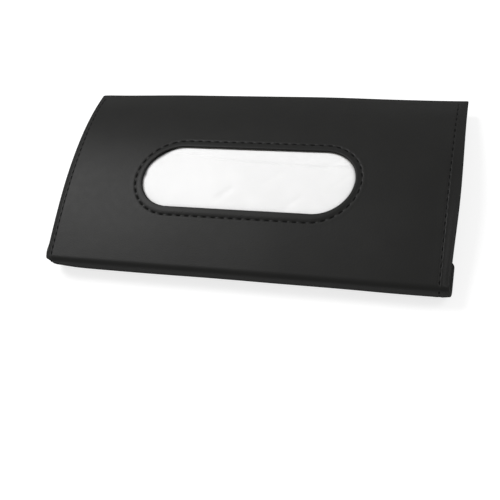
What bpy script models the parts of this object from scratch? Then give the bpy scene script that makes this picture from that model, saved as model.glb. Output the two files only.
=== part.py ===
"""A car tissue holder: a soft leather case that is strapped under a sun visor.

It lies on its back here. X runs along its width, +Y to its top edge and +Z out of its front.
Z starts at the lowest point of the elastic straps. All lengths are in metres.

The case is one long front sheet that arches over the tissues. It folds over the top edge onto
the back, and at the bottom it rolls round into a flap, which magnets hold against the back.
Most pieces are cut flat and then laid along the route that the leather takes round the case.
In the flat, X is the width, Y runs along the route and Z stands out of the outer face.
"""

import math

import bmesh
import bpy
import numpy as np
from mathutils import Matrix

# Driving dimensions of the case
FRONT_WIDTH = 0.230
CASE_HEIGHT = 0.125
ROLL_RADIUS = 0.007
FOLD_RADIUS = 0.0045
FRONT_START_TILT = math.radians(9.4)
FRONT_END_TILT = math.radians(19.4)
BACK_INSET = 0.0015
BACK_TOP_ROOM = 0.001
WRAP_LENGTH = 0.015
FLAP_OVERHANG = 0.0015
FLAP_TAPER = 0.012
FLAP_TAIL = 0.015
FLAP_CORNER = 0.002

# Layers, from the outer face inwards
LEATHER = 0.0009
BOARD = 0.001
LINING = 0.0004
LAYER_GAP = 0.0003

# Turned edges
TURN_IN = 0.010
EDGE_ROUND = 0.0015
EDGE_SLOPE = 0.0045
EDGE_DROP = 0.0018
EDGE_FADE = 0.010
FLAP_EDGE_ROUND = 0.0006
BOARD_FROM_SEAM = 0.0022
BOARD_FROM_HINGE = 0.001
BOARD_TO_FOLD = 0.002
HINGE_SLIT = 0.0003

# The window that the tissues come out of
WINDOW_LENGTH = 0.124
WINDOW_WIDTH = 0.040
WINDOW_SIDE_SHIFT = -0.0029
WINDOW_FROM_HINGE = 0.0518
RIM_TURN_IN = 0.007
RIM_ROUND = 0.0006

# Seams
SEAM_MARGIN = 0.0055
RIM_SEAM_MARGIN = 0.005
FLAP_SEAM_MARGIN = 0.003
WRAP_SEAM_MARGIN = 0.004
SEAM_END_ROOM = 0.002
GROOVE_WIDTH = 0.0014
GROOVE_DEPTH = 0.0005
THREAD_RADIUS = 0.00025
THREAD_RISE = 0.0001
STITCH_PITCH = 0.005

# Gussets that close the sides
GUSSET_CLOTH = 0.0008
GUSSET_FLANGE = 0.010
GUSSET_EDGE_INSET = 0.001
GUSSET_FROM_HINGE = 0.0015
GUSSET_TO_FOLD = 0.006

# Magnets in the flap, and the plates in the back that they hold to
MAGNET_DIAMETER = 0.010
MAGNET_FROM_SIDE = 0.045

# Elastic straps that go round a sun visor
STRAP_WIDTH = 0.025
STRAP_THICKNESS = 0.0012
STRAP_SPREAD = 0.062
STRAP_FROM_TOP = 0.019
STRAP_FROM_FLAP = 0.0055
STRAP_TAB = 0.009
STRAP_BEND = 0.012
STRAP_SEAM_MARGIN = 0.0018
VISOR_GAP = 0.0046

# The pack of tissues
PACK_SIDE_ROOM = 0.0075
PACK_FROM_HINGE = 0.008
PACK_TO_FOLD = 0.016
PACK_BULGE = 0.0015
SEAL_LENGTH = 0.009
SEAL_THICKNESS = 0.0008
SEAL_END_ROOM = 0.002
FILM = 0.0004
SLIT_LENGTH = 0.130
SLIT_WIDTH = 0.001
SLIT_ABOVE_WINDOW_CENTRE = 0.012
TISSUE_ROOM = 0.0003
TOP_TISSUE = 0.0006
TISSUE_LAYERS = 5
TISSUE_GAP_SHARE = 0.3
TISSUE_LINK = 0.0015

# Fineness of the modelling
CUT_OVERRUN = 0.004
WELD = 0.00001
NEAR = 0.00005
ROLL_STEP = math.radians(18)
ARCH_STEPS = 11
ARCH_SAMPLES = 400
WINDOW_ARC_STEPS = 10
CORNER_STEPS = 3
PROFILE_STEPS = 9
DISC_SIDES = 24
EDGE_SEGMENTS = 3
SLOPE_STEPS = 4
SMOOTH_ANGLE = math.radians(30)

# Heights and places that follow from the sizes above
FRONT_HALF = FRONT_WIDTH / 2
FLAP_HALF = FRONT_HALF + FLAP_OVERHANG
BACK_HALF = FRONT_HALF - BACK_INSET
SEAM_SIDE = FRONT_HALF - SEAM_MARGIN
BOARD_HALF = SEAM_SIDE - BOARD_FROM_SEAM
BOARD_DEPTH = LEATHER + LAYER_GAP
LINING_DEPTH = BOARD_DEPTH + BOARD + LAYER_GAP
TURNED_DEPTH = LINING_DEPTH + LEATHER
LINED_DEPTH = LINING_DEPTH + LINING
BACK_LEVEL = STRAP_THICKNESS + VISOR_GAP
FLAP_LEVEL = BACK_LEVEL - LAYER_GAP - LINED_DEPTH
WRAP_LEVEL = BACK_LEVEL - LAYER_GAP - LEATHER
TAB_LEVEL = BACK_LEVEL - LAYER_GAP - STRAP_THICKNESS
ROLL_CENTRE_Y = ROLL_RADIUS - CASE_HEIGHT / 2
FOLD_CENTRE_Y = CASE_HEIGHT / 2 - FOLD_RADIUS
FOLD_CENTRE_Z = WRAP_LEVEL + FOLD_RADIUS
ROLL_LENGTH = ROLL_RADIUS * (math.pi - FRONT_START_TILT)
BACK_TOP = FOLD_CENTRE_Y - BACK_TOP_ROOM
BACK_LENGTH = BACK_TOP - ROLL_CENTRE_Y
FLAP_END = ROLL_CENTRE_Y + FLAP_TAIL
MAGNET_Y = ROLL_CENTRE_Y + FLAP_TAIL / 2
MAGNET_SPREAD = FRONT_HALF - MAGNET_FROM_SIDE
STRAP_TOP = BACK_TOP - STRAP_FROM_TOP
STRAP_BOTTOM = FLAP_END + STRAP_FROM_FLAP
GUSSET_OUTER = BACK_HALF - GUSSET_EDGE_INSET
GUSSET_INNER = GUSSET_OUTER - GUSSET_FLANGE
PACK_HALF_LENGTH = GUSSET_INNER - PACK_SIDE_ROOM - SEAL_LENGTH
FRONT_START = HINGE_SLIT / 2
THREAD_HEIGHT = LAYER_GAP + THREAD_RADIUS
INSIDE_FLOOR = BACK_LEVEL + TURNED_DEPTH + LAYER_GAP
INSIDE_DEPTH = TURNED_DEPTH + LAYER_GAP


class Route:
    """A path in the YZ plane, made leg by leg. Its outer side is on the left of its heading."""

    def __init__(self, y, z, heading, start):
        self.tip = (y, z, heading)
        self.reach = start
        self.legs = []
        self.folds = []

    def add_leg(self, length, place, steps):
        """Takes on a leg, with the places where flat pieces crease to follow it."""
        self.legs.append((self.reach, place))
        self.folds += [self.reach + length * step / steps for step in range(steps)]
        self.reach += length
        self.tip = place(length)

    def straight(self, length):
        y, z, heading = self.tip
        self.add_leg(
            length,
            lambda s: (y + s * math.cos(heading), z + s * math.sin(heading), heading),
            1,
        )

    def turn(self, radius, angle):
        """Turns clockwise, towards the inner side, or the other way for a negative angle."""
        y, z, heading = self.tip
        radius = math.copysign(radius, angle)
        centre_y = y + radius * math.sin(heading)
        centre_z = z - radius * math.cos(heading)

        def place(s):
            now = heading - s / radius
            return centre_y - radius * math.sin(now), centre_z + radius * math.cos(now), now

        self.add_leg(abs(radius * angle), place, max(1, round(abs(angle) / ROLL_STEP)))

    def arch(self, y, z, heading):
        """Rises and falls in one smooth sweep to a point, where it has the given heading."""
        y0, z0, heading0 = self.tip
        run = y - y0
        slopes = run * math.tan(heading0), run * math.tan(heading)

        def height(t):
            rise = (z - z0) * t * t * (3 - 2 * t)
            return z0 + rise + slopes[0] * t * (1 - t) ** 2 - slopes[1] * t * t * (1 - t)

        def slope(t):
            rise = (z - z0) * 6 * t * (1 - t)
            return rise + slopes[0] * (1 - t) * (1 - 3 * t) - slopes[1] * t * (2 - 3 * t)

        shares = np.linspace(0, 1, ARCH_SAMPLES)
        steps = np.hypot(np.diff(y0 + run * shares), np.diff(height(shares)))
        lengths = np.concatenate([[0], np.cumsum(steps)])

        def place(s):
            t = float(np.interp(s, lengths, shares))
            return y0 + run * t, height(t), math.atan2(slope(t), run)

        self.add_leg(float(lengths[-1]), place, ARCH_STEPS)

    def place(self, along):
        """The point of the route at a distance along it, and its heading there."""
        start, leg = self.legs[0]
        for later_start, later_leg in self.legs[1:]:
            if along >= later_start:
                start, leg = later_start, later_leg
        return leg(along - start)

    def point(self, along, depth):
        """A point this deep under the outer side, as (y, z)."""
        y, z, heading = self.place(along)
        return y + depth * math.sin(heading), z - depth * math.cos(heading)


def outer_route():
    """The outer face of the leather: flap, bottom roll, front, top fold, wrap on the back."""
    route = Route(FLAP_END, FLAP_LEVEL, math.pi, -FLAP_TAIL - ROLL_LENGTH)
    route.straight(FLAP_TAIL)
    route.turn(ROLL_RADIUS, math.pi - FRONT_START_TILT)
    route.arch(
        FOLD_CENTRE_Y + FOLD_RADIUS * math.sin(FRONT_END_TILT),
        FOLD_CENTRE_Z + FOLD_RADIUS * math.cos(FRONT_END_TILT),
        -FRONT_END_TILT,
    )
    route.front_end = route.reach
    route.turn(FOLD_RADIUS, math.pi - FRONT_END_TILT)
    route.straight(WRAP_LENGTH)
    return route


def back_route():
    """The outer face of the back panel, from its top edge down."""
    route = Route(BACK_TOP, BACK_LEVEL, math.pi, 0)
    route.straight(BACK_LENGTH)
    return route


def strap_route():
    """The outer face of a strap: a sewn tab, the bow that a visor goes under, another tab."""
    swing = math.acos(1 - TAB_LEVEL / (2 * STRAP_BEND))
    slope_run = 2 * STRAP_BEND * math.sin(swing)
    crown = STRAP_TOP - STRAP_BOTTOM - 2 * STRAP_TAB - 2 * slope_run
    route = Route(STRAP_TOP, TAB_LEVEL, math.pi, 0)
    route.straight(STRAP_TAB)
    route.turn(STRAP_BEND, -swing)
    route.turn(STRAP_BEND, swing)
    route.straight(crown)
    route.turn(STRAP_BEND, swing)
    route.turn(STRAP_BEND, -swing)
    route.straight(STRAP_TAB)
    return route


def clear_scene():
    for thing in list(bpy.data.objects):
        bpy.data.objects.remove(thing, do_unlink=True)


def new_collection(name):
    group = bpy.data.collections.new(name)
    bpy.context.scene.collection.children.link(group)
    return group


def new_object(name, bm, group):
    """Turns a finished bmesh into an object in a collection."""
    bmesh.ops.recalc_face_normals(bm, faces=bm.faces)
    mesh = bpy.data.meshes.new(name)
    bm.to_mesh(mesh)
    bm.free()
    piece = bpy.data.objects.new(name, mesh)
    group.objects.link(piece)
    return piece


def as_bmesh(thing):
    """The object as its modifiers leave it, with its loose caps joined on."""
    bpy.context.view_layer.update()
    seen = thing.evaluated_get(bpy.context.evaluated_depsgraph_get())
    mesh = bpy.data.meshes.new_from_object(seen)
    bm = bmesh.new()
    bm.from_mesh(mesh)
    bpy.data.meshes.remove(mesh)
    bmesh.ops.remove_doubles(bm, verts=bm.verts, dist=WELD)
    return bm


def curve_object(name, loops, closed):
    """A curve through corner points, which may be given as (x, y) or (x, y, z)."""
    curve = bpy.data.curves.new(name, "CURVE")
    for loop in loops:
        spline = curve.splines.new("POLY")
        spline.points.add(len(loop) - 1)
        for point, place in zip(spline.points, loop):
            point.co = (*place, 0, 1)[:4] if len(place) == 2 else (*place, 1)
        spline.use_cyclic_u = closed
    guide = bpy.data.objects.new(name, curve)
    bpy.context.scene.collection.objects.link(guide)
    return guide


def prism(name, loops, low, high, group):
    """A flat outline, with any holes, as a solid between two heights."""
    guide = curve_object(name, loops, True)
    guide.data.dimensions = "2D"
    guide.data.fill_mode = "BOTH"
    guide.data.extrude = (high - low) / 2
    bm = as_bmesh(guide)
    bpy.data.objects.remove(guide)
    bmesh.ops.translate(bm, verts=bm.verts, vec=(0, 0, (high + low) / 2))
    return new_object(name, bm, group)


def drawn_in(loop, distance, kept):
    """A clockwise loop moved inwards, but for its edges at one place along the route."""
    lines = []
    for (x0, y0), (x1, y1) in zip(loop, loop[1:] + loop[:1]):
        length = math.dist((x0, y0), (x1, y1))
        across, along = (y0 - y1) / length, (x1 - x0) / length
        step = 0 if y0 == y1 == kept else distance
        lines.append((across, along, across * x0 + along * y0 - step))
    corners = []
    for (a, b, c), (d, e, f) in zip(lines[-1:] + lines[:-1], lines):
        spread = a * e - b * d
        corners.append(((c * e - b * f) / spread, (a * f - c * d) / spread))
    return corners


def rounded_prism(name, loop, low, high, radius, kept, group):
    """A flat clockwise outline as a solid with a rounded upper rim, but for its kept edges."""
    turns = [math.pi / 2 * step / EDGE_SEGMENTS for step in range(EDGE_SEGMENTS + 1)]
    levels = [(loop, low)]
    for turn in turns:
        inset = radius * (1 - math.cos(turn))
        levels.append((drawn_in(loop, inset, kept), high - radius * (1 - math.sin(turn))))
    bm = bmesh.new()
    rings = [[bm.verts.new((x, y, height)) for x, y in ring] for ring, height in levels]
    for lower, upper in zip(rings, rings[1:]):
        for side in range(len(loop)):
            bm.faces.new((lower[side - 1], lower[side], upper[side], upper[side - 1]))
    bm.faces.new(rings[0])
    bm.faces.new(rings[-1])
    return new_object(name, bm, group)


def side_prism(name, outline, left, right, group):
    """An outline of (y, z) points as a solid between two places across the width."""
    piece = prism(name, [outline], left, right, group)
    piece.data.transform(Matrix(((0, 0, 1, 0), (1, 0, 0, 0), (0, 1, 0, 0), (0, 0, 0, 1))))
    return piece


def slab(name, low, high, group):
    """A box between two opposite corners."""
    bm = bmesh.new()
    bmesh.ops.create_cube(bm, size=1)
    size = [b - a for a, b in zip(low, high)]
    bmesh.ops.scale(bm, verts=bm.verts, vec=size)
    bmesh.ops.translate(bm, verts=bm.verts, vec=[(a + b) / 2 for a, b in zip(low, high)])
    return new_object(name, bm, group)


def reshape(piece, tools, operation="DIFFERENCE"):
    """Cuts other solids from a piece, or joins them to it, and removes them."""
    for tool in tools:
        tool.hide_render = True
        tool.display_type = "WIRE"
        change = piece.modifiers.new(tool.name, "BOOLEAN")
        change.object = tool
        change.operation = operation
        change.solver = "EXACT"
    bm = as_bmesh(piece)
    piece.modifiers.clear()
    bm.to_mesh(piece.data)
    bm.free()
    for tool in tools:
        bpy.data.objects.remove(tool)


def round_edges(piece, wanted, radius):
    """Rounds the edges whose two ends answer to a test."""
    bm = bmesh.new()
    bm.from_mesh(piece.data)
    edges = [edge for edge in bm.edges if wanted(*[vert.co for vert in edge.verts])]
    bmesh.ops.bevel(
        bm, geom=edges, offset=radius, segments=EDGE_SEGMENTS, profile=0.5, affect="EDGES"
    )
    bm.to_mesh(piece.data)
    bm.free()


def slope_cuts(fade_end):
    """Where a piece is creased so that its margins can slope, as (place, normal) pairs."""
    start = FRONT_HALF - EDGE_SLOPE
    cuts = [((side * (start + EDGE_SLOPE * step / SLOPE_STEPS), 0, 0), (1, 0, 0))
            for side in (-1, 1) for step in range(SLOPE_STEPS)]
    if fade_end is not None:
        cuts += [((0, fade_end - EDGE_FADE * step / SLOPE_STEPS, 0), (0, 1, 0))
                 for step in range(1, SLOPE_STEPS + 1)]
    return cuts


def lower_margins(bm, depth, fade_end):
    """Thins a flat piece towards its sides, where there is no board, so that it slopes down.

    The slope fades out towards one place along the route, if that is given.
    """
    shares = [step / SLOPE_STEPS for step in range(SLOPE_STEPS + 1)]
    drops = [EDGE_DROP * (1 - math.sqrt(1 - share * share)) for share in shares]
    for vert in bm.verts:
        share = (abs(vert.co.x) - FRONT_HALF + EDGE_SLOPE) / EDGE_SLOPE
        drop = float(np.interp(share, shares, drops))
        if fade_end is not None:
            drop *= min(max((fade_end - vert.co.y) / EDGE_FADE, 0), 1)
        vert.co.z = (vert.co.z + depth) * (1 - drop / depth) - depth


def lay_along(piece, route, slope_depth=None, fade_end=None):
    """Lays a flat piece along a route, with a crease wherever the route has one.

    With a slope depth, the margins of a piece as thick as that slope down towards its sides.
    """
    bm = bmesh.new()
    bm.from_mesh(piece.data)
    cuts = [((0, fold, 0), (0, 1, 0)) for fold in route.folds[1:]]
    if slope_depth is not None:
        cuts += slope_cuts(fade_end)
    for place, normal in cuts:
        everything = [*bm.verts, *bm.edges, *bm.faces]
        bmesh.ops.bisect_plane(bm, geom=everything, dist=WELD, plane_co=place, plane_no=normal)
    bmesh.ops.triangulate(bm, faces=bm.faces)
    if slope_depth is not None:
        lower_margins(bm, slope_depth, fade_end)
    for vert in bm.verts:
        vert.co.yz = route.point(vert.co.y, -vert.co.z)
    bm.to_mesh(piece.data)
    bm.free()


def material(name, colour, roughness, metallic=0.0, alpha=1.0):
    finish = bpy.data.materials.new(name)
    finish.use_nodes = True
    shader = finish.node_tree.nodes["Principled BSDF"]
    shader.inputs["Base Color"].default_value = (*colour, 1)
    shader.inputs["Roughness"].default_value = roughness
    shader.inputs["Metallic"].default_value = metallic
    shader.inputs["Alpha"].default_value = alpha
    finish.diffuse_color = (*colour, alpha)
    return finish


def rectangle(half_width, low, high):
    return [(-half_width, low), (half_width, low), (half_width, high), (-half_width, high)]


def circle(x, y, radius):
    turns = [2 * math.pi * side / DISC_SIDES for side in range(DISC_SIDES)]
    return [(x + radius * math.cos(turn), y + radius * math.sin(turn)) for turn in turns]


def window_point(distance, grow):
    """A point on the window's outline, made larger all round, this far along it."""
    radius = WINDOW_WIDTH / 2 + grow
    straight = WINDOW_LENGTH - WINDOW_WIDTH
    arc = math.pi * radius
    side = 1
    distance %= 2 * (straight + arc)
    if distance >= straight + arc:
        distance -= straight + arc
        side = -1
    if distance < straight:
        x, y = distance - straight / 2, -radius
    else:
        turn = (distance - straight) / radius
        x, y = straight / 2 + radius * math.sin(turn), -radius * math.cos(turn)
    return WINDOW_SIDE_SHIFT + side * x, WINDOW_FROM_HINGE + side * y


def window_loop(grow):
    """The window's outline: two straight sides and two half circles."""
    radius = WINDOW_WIDTH / 2 + grow
    straight = WINDOW_LENGTH - WINDOW_WIDTH
    arc = math.pi * radius
    steps = [straight + arc * step / WINDOW_ARC_STEPS for step in range(WINDOW_ARC_STEPS + 1)]
    return [window_point(side * (straight + arc) + step, grow) for side in (0, 1) for step in steps]


def on_window_edge(*ends):
    """Whether points of the flat front all lie on the window's edge, at the outer face."""
    for place in ends:
        past = abs(place.x - WINDOW_SIDE_SHIFT) - (WINDOW_LENGTH - WINDOW_WIDTH) / 2
        reach = math.hypot(max(past, 0), place.y - WINDOW_FROM_HINGE)
        if abs(place.z) > NEAR or abs(reach - WINDOW_WIDTH / 2) > NEAR:
            return False
    return True


def flap_outline():
    """The flat flap: it widens from the front's width, and its free corners are rounded."""
    low = -FLAP_TAIL - ROLL_LENGTH
    corner = []
    for step in range(CORNER_STEPS + 1):
        turn = math.pi / 2 * step / CORNER_STEPS
        across = FLAP_HALF - FLAP_CORNER * (1 - math.cos(turn))
        corner.append((across, low + FLAP_CORNER * (1 - math.sin(turn))))
    right = [(FRONT_HALF, -FRONT_START), (FLAP_HALF, -FLAP_TAPER), *corner]
    return right + [(-x, y) for x, y in reversed(right)]


def lens(route, start, end, depth, floor, inset, bulge=0.0):
    """The side outline of what fills the case, between the front's inside and a flat floor."""
    start += inset
    end -= inset
    steps = [start + (end - start) * step / PROFILE_STEPS for step in range(PROFILE_STEPS + 1)]
    top = [route.point(step, depth + inset) for step in steps]
    floor += inset
    first, last = top[0][0], top[-1][0]
    outline = [(first, floor), (last, floor)]
    if bulge:
        outline.append((last + bulge, (floor + top[-1][1]) / 2))
    outline += reversed(top)
    if bulge:
        outline.append((first - bulge, (floor + top[0][1]) / 2))
    return outline


def thread(name, path, closed, height, group):
    """A sewing thread along flat points, which rises over each stitch and dips at each hole."""
    places = [(x, y, height + THREAD_RISE * (count % 2)) for count, (x, y) in enumerate(path)]
    guide = curve_object(name, [places], closed)
    guide.data.dimensions = "3D"
    guide.data.bevel_depth = THREAD_RADIUS
    guide.data.bevel_resolution = 0
    guide.data.use_fill_caps = not closed
    guide.data.twist_mode = "Z_UP"
    bm = as_bmesh(guide)
    bpy.data.objects.remove(guide)
    return new_object(name, bm, group)


def straight_path(start, end):
    """Points half a stitch apart from one place to another, the last one left out."""
    length = math.dist(start, end)
    count = max(2, 2 * round(length / STITCH_PITCH))
    shares = [step / count for step in range(count)]
    return [(start[0] + (end[0] - start[0]) * s, start[1] + (end[1] - start[1]) * s) for s in shares]


def loop_path(corners):
    """Points half a stitch apart round a closed shape with straight sides."""
    path = []
    for start, end in zip(corners, corners[1:] + corners[:1]):
        path += straight_path(start, end)
    return path


def turned_sheet(name, half, slot_half, start, end, turned_end, window, group):
    """Leather folded in round its edges, with a slot in the fold for the board."""
    over = CUT_OVERRUN
    sheet = slab(name, (-half, start, -TURNED_DEPTH), (half, end, 0), group)
    round_edges(sheet, lambda first, last: first.y != last.y, EDGE_ROUND)
    slot_end = end - LEATHER if turned_end else end + over
    open_end = end - TURN_IN if turned_end else end + over
    slot = [rectangle(slot_half, start - over, slot_end)]
    opening = [rectangle(half - TURN_IN, start - over, open_end)]
    if window:
        slot.append(window_loop(LEATHER))
        opening.append(window_loop(RIM_TURN_IN))
    tools = [
        prism("board_slot", slot, -LINING_DEPTH, -LEATHER, group),
        prism("lining_opening", opening, -TURNED_DEPTH - over, -LINING_DEPTH + NEAR, group),
    ]
    reshape(sheet, tools)
    return sheet


def front_leather(route, group):
    """The front sheet, from the flap's hinge over the front and the top fold to the back."""
    over = CUT_OVERRUN
    end = route.reach
    slot_half = BOARD_HALF + LAYER_GAP
    sheet = turned_sheet(
        "front_leather", FRONT_HALF, slot_half, FRONT_START, end, False, True, group
    )
    side = SEAM_SIDE
    wrap_seam = end - WRAP_SEAM_MARGIN
    low = (-FRONT_HALF - over, route.front_end, -TURNED_DEPTH - over)
    high = (FRONT_HALF + over, end + over, -LEATHER)
    tools = [slab("single_layer", low, high, group)]
    for sign in (-1, 1):
        edges = sorted((sign * side - GROOVE_WIDTH / 2, sign * side + GROOVE_WIDTH / 2))
        low = (edges[0], FRONT_START - over, -GROOVE_DEPTH)
        high = (edges[1], route.front_end, over)
        tools.append(slab("side_groove", low, high, group))
    low = (-side, wrap_seam - GROOVE_WIDTH / 2, -GROOVE_DEPTH)
    high = (side, wrap_seam + GROOVE_WIDTH / 2, over)
    tools.append(slab("wrap_groove", low, high, group))
    ring = [window_loop(RIM_SEAM_MARGIN + GROOVE_WIDTH / 2)]
    ring.append(window_loop(RIM_SEAM_MARGIN - GROOVE_WIDTH / 2))
    tools.append(prism("window_groove", ring, -GROOVE_DEPTH, over, group))
    tools.append(prism("window", [window_loop(0)], -TURNED_DEPTH - over, over, group))
    reshape(sheet, tools)
    round_edges(sheet, on_window_edge, RIM_ROUND)
    lay_along(sheet, route, TURNED_DEPTH, route.front_end)
    return sheet


def front_layers(route, group):
    """The board that stiffens the front, and the cloth that lines it."""
    start = FRONT_START + BOARD_FROM_HINGE
    end = route.front_end - BOARD_TO_FOLD
    loops = [rectangle(BOARD_HALF, start, end), window_loop(LEATHER + LAYER_GAP)]
    board = prism("front_board", loops, -BOARD_DEPTH - BOARD, -BOARD_DEPTH, group)
    inset = TURN_IN + LAYER_GAP
    loops = [rectangle(FRONT_HALF - inset, start, end), window_loop(RIM_TURN_IN + LAYER_GAP)]
    lining = prism("front_lining", loops, -LINED_DEPTH, -LINING_DEPTH, group)
    for piece in (board, lining):
        lay_along(piece, route)
    return board, lining


def front_seams(route, group):
    """The stitches round the window, down both sides and across the wrap on the back."""
    height = THREAD_HEIGHT - GROOVE_DEPTH
    radius = WINDOW_WIDTH / 2 + RIM_SEAM_MARGIN
    length = 2 * (WINDOW_LENGTH - WINDOW_WIDTH + math.pi * radius)
    count = 2 * round(length / STITCH_PITCH)
    ring = [window_point(length * step / count, RIM_SEAM_MARGIN) for step in range(count)]
    seams = [thread("window_stitches", ring, True, height, group)]
    side = SEAM_SIDE
    low = FRONT_START + SEAM_END_ROOM
    high = route.front_end - SEAM_END_ROOM
    for name, x in (("left_seam_stitches", -side), ("right_seam_stitches", side)):
        seams.append(thread(name, straight_path((x, low), (x, high)), False, height, group))
    wrap = route.reach - WRAP_SEAM_MARGIN
    reach = side - SEAM_END_ROOM
    path = straight_path((-reach, wrap), (reach, wrap))
    seams.append(thread("back_top_stitches", path, False, height, group))
    for seam in seams:
        lay_along(seam, route)
    return seams


def back_panel(group):
    """The flat back: turned leather, its board with two holes, and its lining."""
    route = back_route()
    slot_half = BACK_HALF - LEATHER
    leather = turned_sheet(
        "back_leather", BACK_HALF, slot_half, 0, BACK_LENGTH, True, False, group
    )
    inset = LEATHER + LAYER_GAP
    magnet_along = BACK_TOP - MAGNET_Y
    hole = MAGNET_DIAMETER / 2 + LAYER_GAP
    loops = [rectangle(BACK_HALF - inset, LAYER_GAP, BACK_LENGTH - inset)]
    loops += [circle(sign * MAGNET_SPREAD, magnet_along, hole) for sign in (-1, 1)]
    board = prism("back_board", loops, -BOARD_DEPTH - BOARD, -BOARD_DEPTH, group)
    inset = TURN_IN + LAYER_GAP
    loops = [rectangle(BACK_HALF - inset, LAYER_GAP, BACK_LENGTH - inset)]
    lining = prism("back_lining", loops, -LINED_DEPTH, -LINING_DEPTH, group)
    for piece in (leather, board, lining):
        lay_along(piece, route)
    return leather, board, lining


def gusset(name, side, route, group):
    """A cloth tray on edge that closes one side, with a flange sewn into both panels."""
    start = FRONT_START + GUSSET_FROM_HINGE
    end = route.front_end - GUSSET_TO_FOLD
    outline = lens(route, start, end, INSIDE_DEPTH, INSIDE_FLOOR, 0)
    hollow = lens(route, start, end, INSIDE_DEPTH, INSIDE_FLOOR, GUSSET_CLOTH)
    across = sorted((side * GUSSET_INNER, side * GUSSET_OUTER))
    piece = side_prism(name, outline, *across, group)
    across = sorted((side * (GUSSET_INNER + GUSSET_CLOTH), side * (GUSSET_OUTER + CUT_OVERRUN)))
    reshape(piece, [side_prism("tray", hollow, *across, group)])
    return piece


def disc(name, x, depth, base, group):
    """A magnet or a plate, this thick, that lies flat at the magnets' height on the case."""
    return prism(name, [circle(x, MAGNET_Y, MAGNET_DIAMETER / 2)], base, base + depth, group)


def strap(name, x, group):
    """An elastic strap, its tabs sewn flat and its middle bowed clear of the back."""
    route = strap_route()
    half = STRAP_WIDTH / 2
    loop = [(x - half, 0), (x + half, 0), (x + half, route.reach), (x - half, route.reach)]
    band = prism(name, [loop], -STRAP_THICKNESS, 0, group)
    pieces = [band]
    low, high = STRAP_SEAM_MARGIN, STRAP_TAB - STRAP_SEAM_MARGIN
    left, right = x - half + STRAP_SEAM_MARGIN, x + half - STRAP_SEAM_MARGIN
    for end, base in (("top", 0), ("bottom", route.reach - STRAP_TAB)):
        box = [(left, base + low), (right, base + low), (right, base + high), (left, base + high)]
        label = name.replace("strap", f"strap_{end}_stitches")
        pieces.append(thread(label, loop_path(box), True, THREAD_HEIGHT, group))
    for piece in pieces:
        lay_along(piece, route)
    return pieces


def flap_leather(route, group):
    """The flap's leather: the bottom roll and its tail, thick at the edges round a hollow."""
    over = CUT_OVERRUN
    low = -FLAP_TAIL - ROLL_LENGTH
    sheet = rounded_prism(
        "flap_leather", flap_outline(), -LINED_DEPTH, 0, FLAP_EDGE_ROUND, -FRONT_START, group
    )
    hollow = rectangle(BOARD_HALF + LAYER_GAP, low + LEATHER, over)
    (left, top), *_, (right, _) = flap_seam()
    wide = GROOVE_WIDTH / 2
    base = low + FLAP_SEAM_MARGIN
    groove = [(left - wide, over), (left - wide, base - wide), (right + wide, base - wide)]
    groove += [(right + wide, over), (right - wide, over), (right - wide, base + wide)]
    groove += [(left + wide, base + wide), (left + wide, over)]
    tools = [
        prism("hollow", [hollow], -LINED_DEPTH - over, -LEATHER, group),
        prism("seam", [groove], -GROOVE_DEPTH, over, group),
    ]
    reshape(sheet, tools)
    lay_along(sheet, route, LINED_DEPTH)
    return sheet


def flap_seam():
    """The corners that the flap's seam runs through: down one side, across, up the other."""
    top = -FRONT_START - SEAM_END_ROOM
    base = FLAP_SEAM_MARGIN - FLAP_TAIL - ROLL_LENGTH
    return [(-SEAM_SIDE, top), (-SEAM_SIDE, base), (SEAM_SIDE, base), (SEAM_SIDE, top)]


def flap_layers(route, group):
    """The flap's board, its lining and its seam."""
    low = -FLAP_TAIL - ROLL_LENGTH + LEATHER + LAYER_GAP
    hole = MAGNET_DIAMETER / 2 + LAYER_GAP
    magnet_along = -ROLL_LENGTH - FLAP_TAIL / 2
    loops = [rectangle(BOARD_HALF, low, -ROLL_LENGTH - LAYER_GAP)]
    loops += [circle(sign * MAGNET_SPREAD, magnet_along, hole) for sign in (-1, 1)]
    board = prism("flap_board", loops, -BOARD_DEPTH - BOARD, -BOARD_DEPTH, group)
    outline = rectangle(BOARD_HALF, low, -FRONT_START)
    lining = prism("flap_lining", [outline], -LINED_DEPTH, -LINING_DEPTH, group)
    corners = flap_seam()
    path = [place for ends in zip(corners, corners[1:]) for place in straight_path(*ends)]
    height = THREAD_HEIGHT - GROOVE_DEPTH
    seam = thread("flap_stitches", [*path, corners[-1]], False, height, group)
    for piece in (board, lining, seam):
        lay_along(piece, route)
    return board, lining, seam


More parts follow.
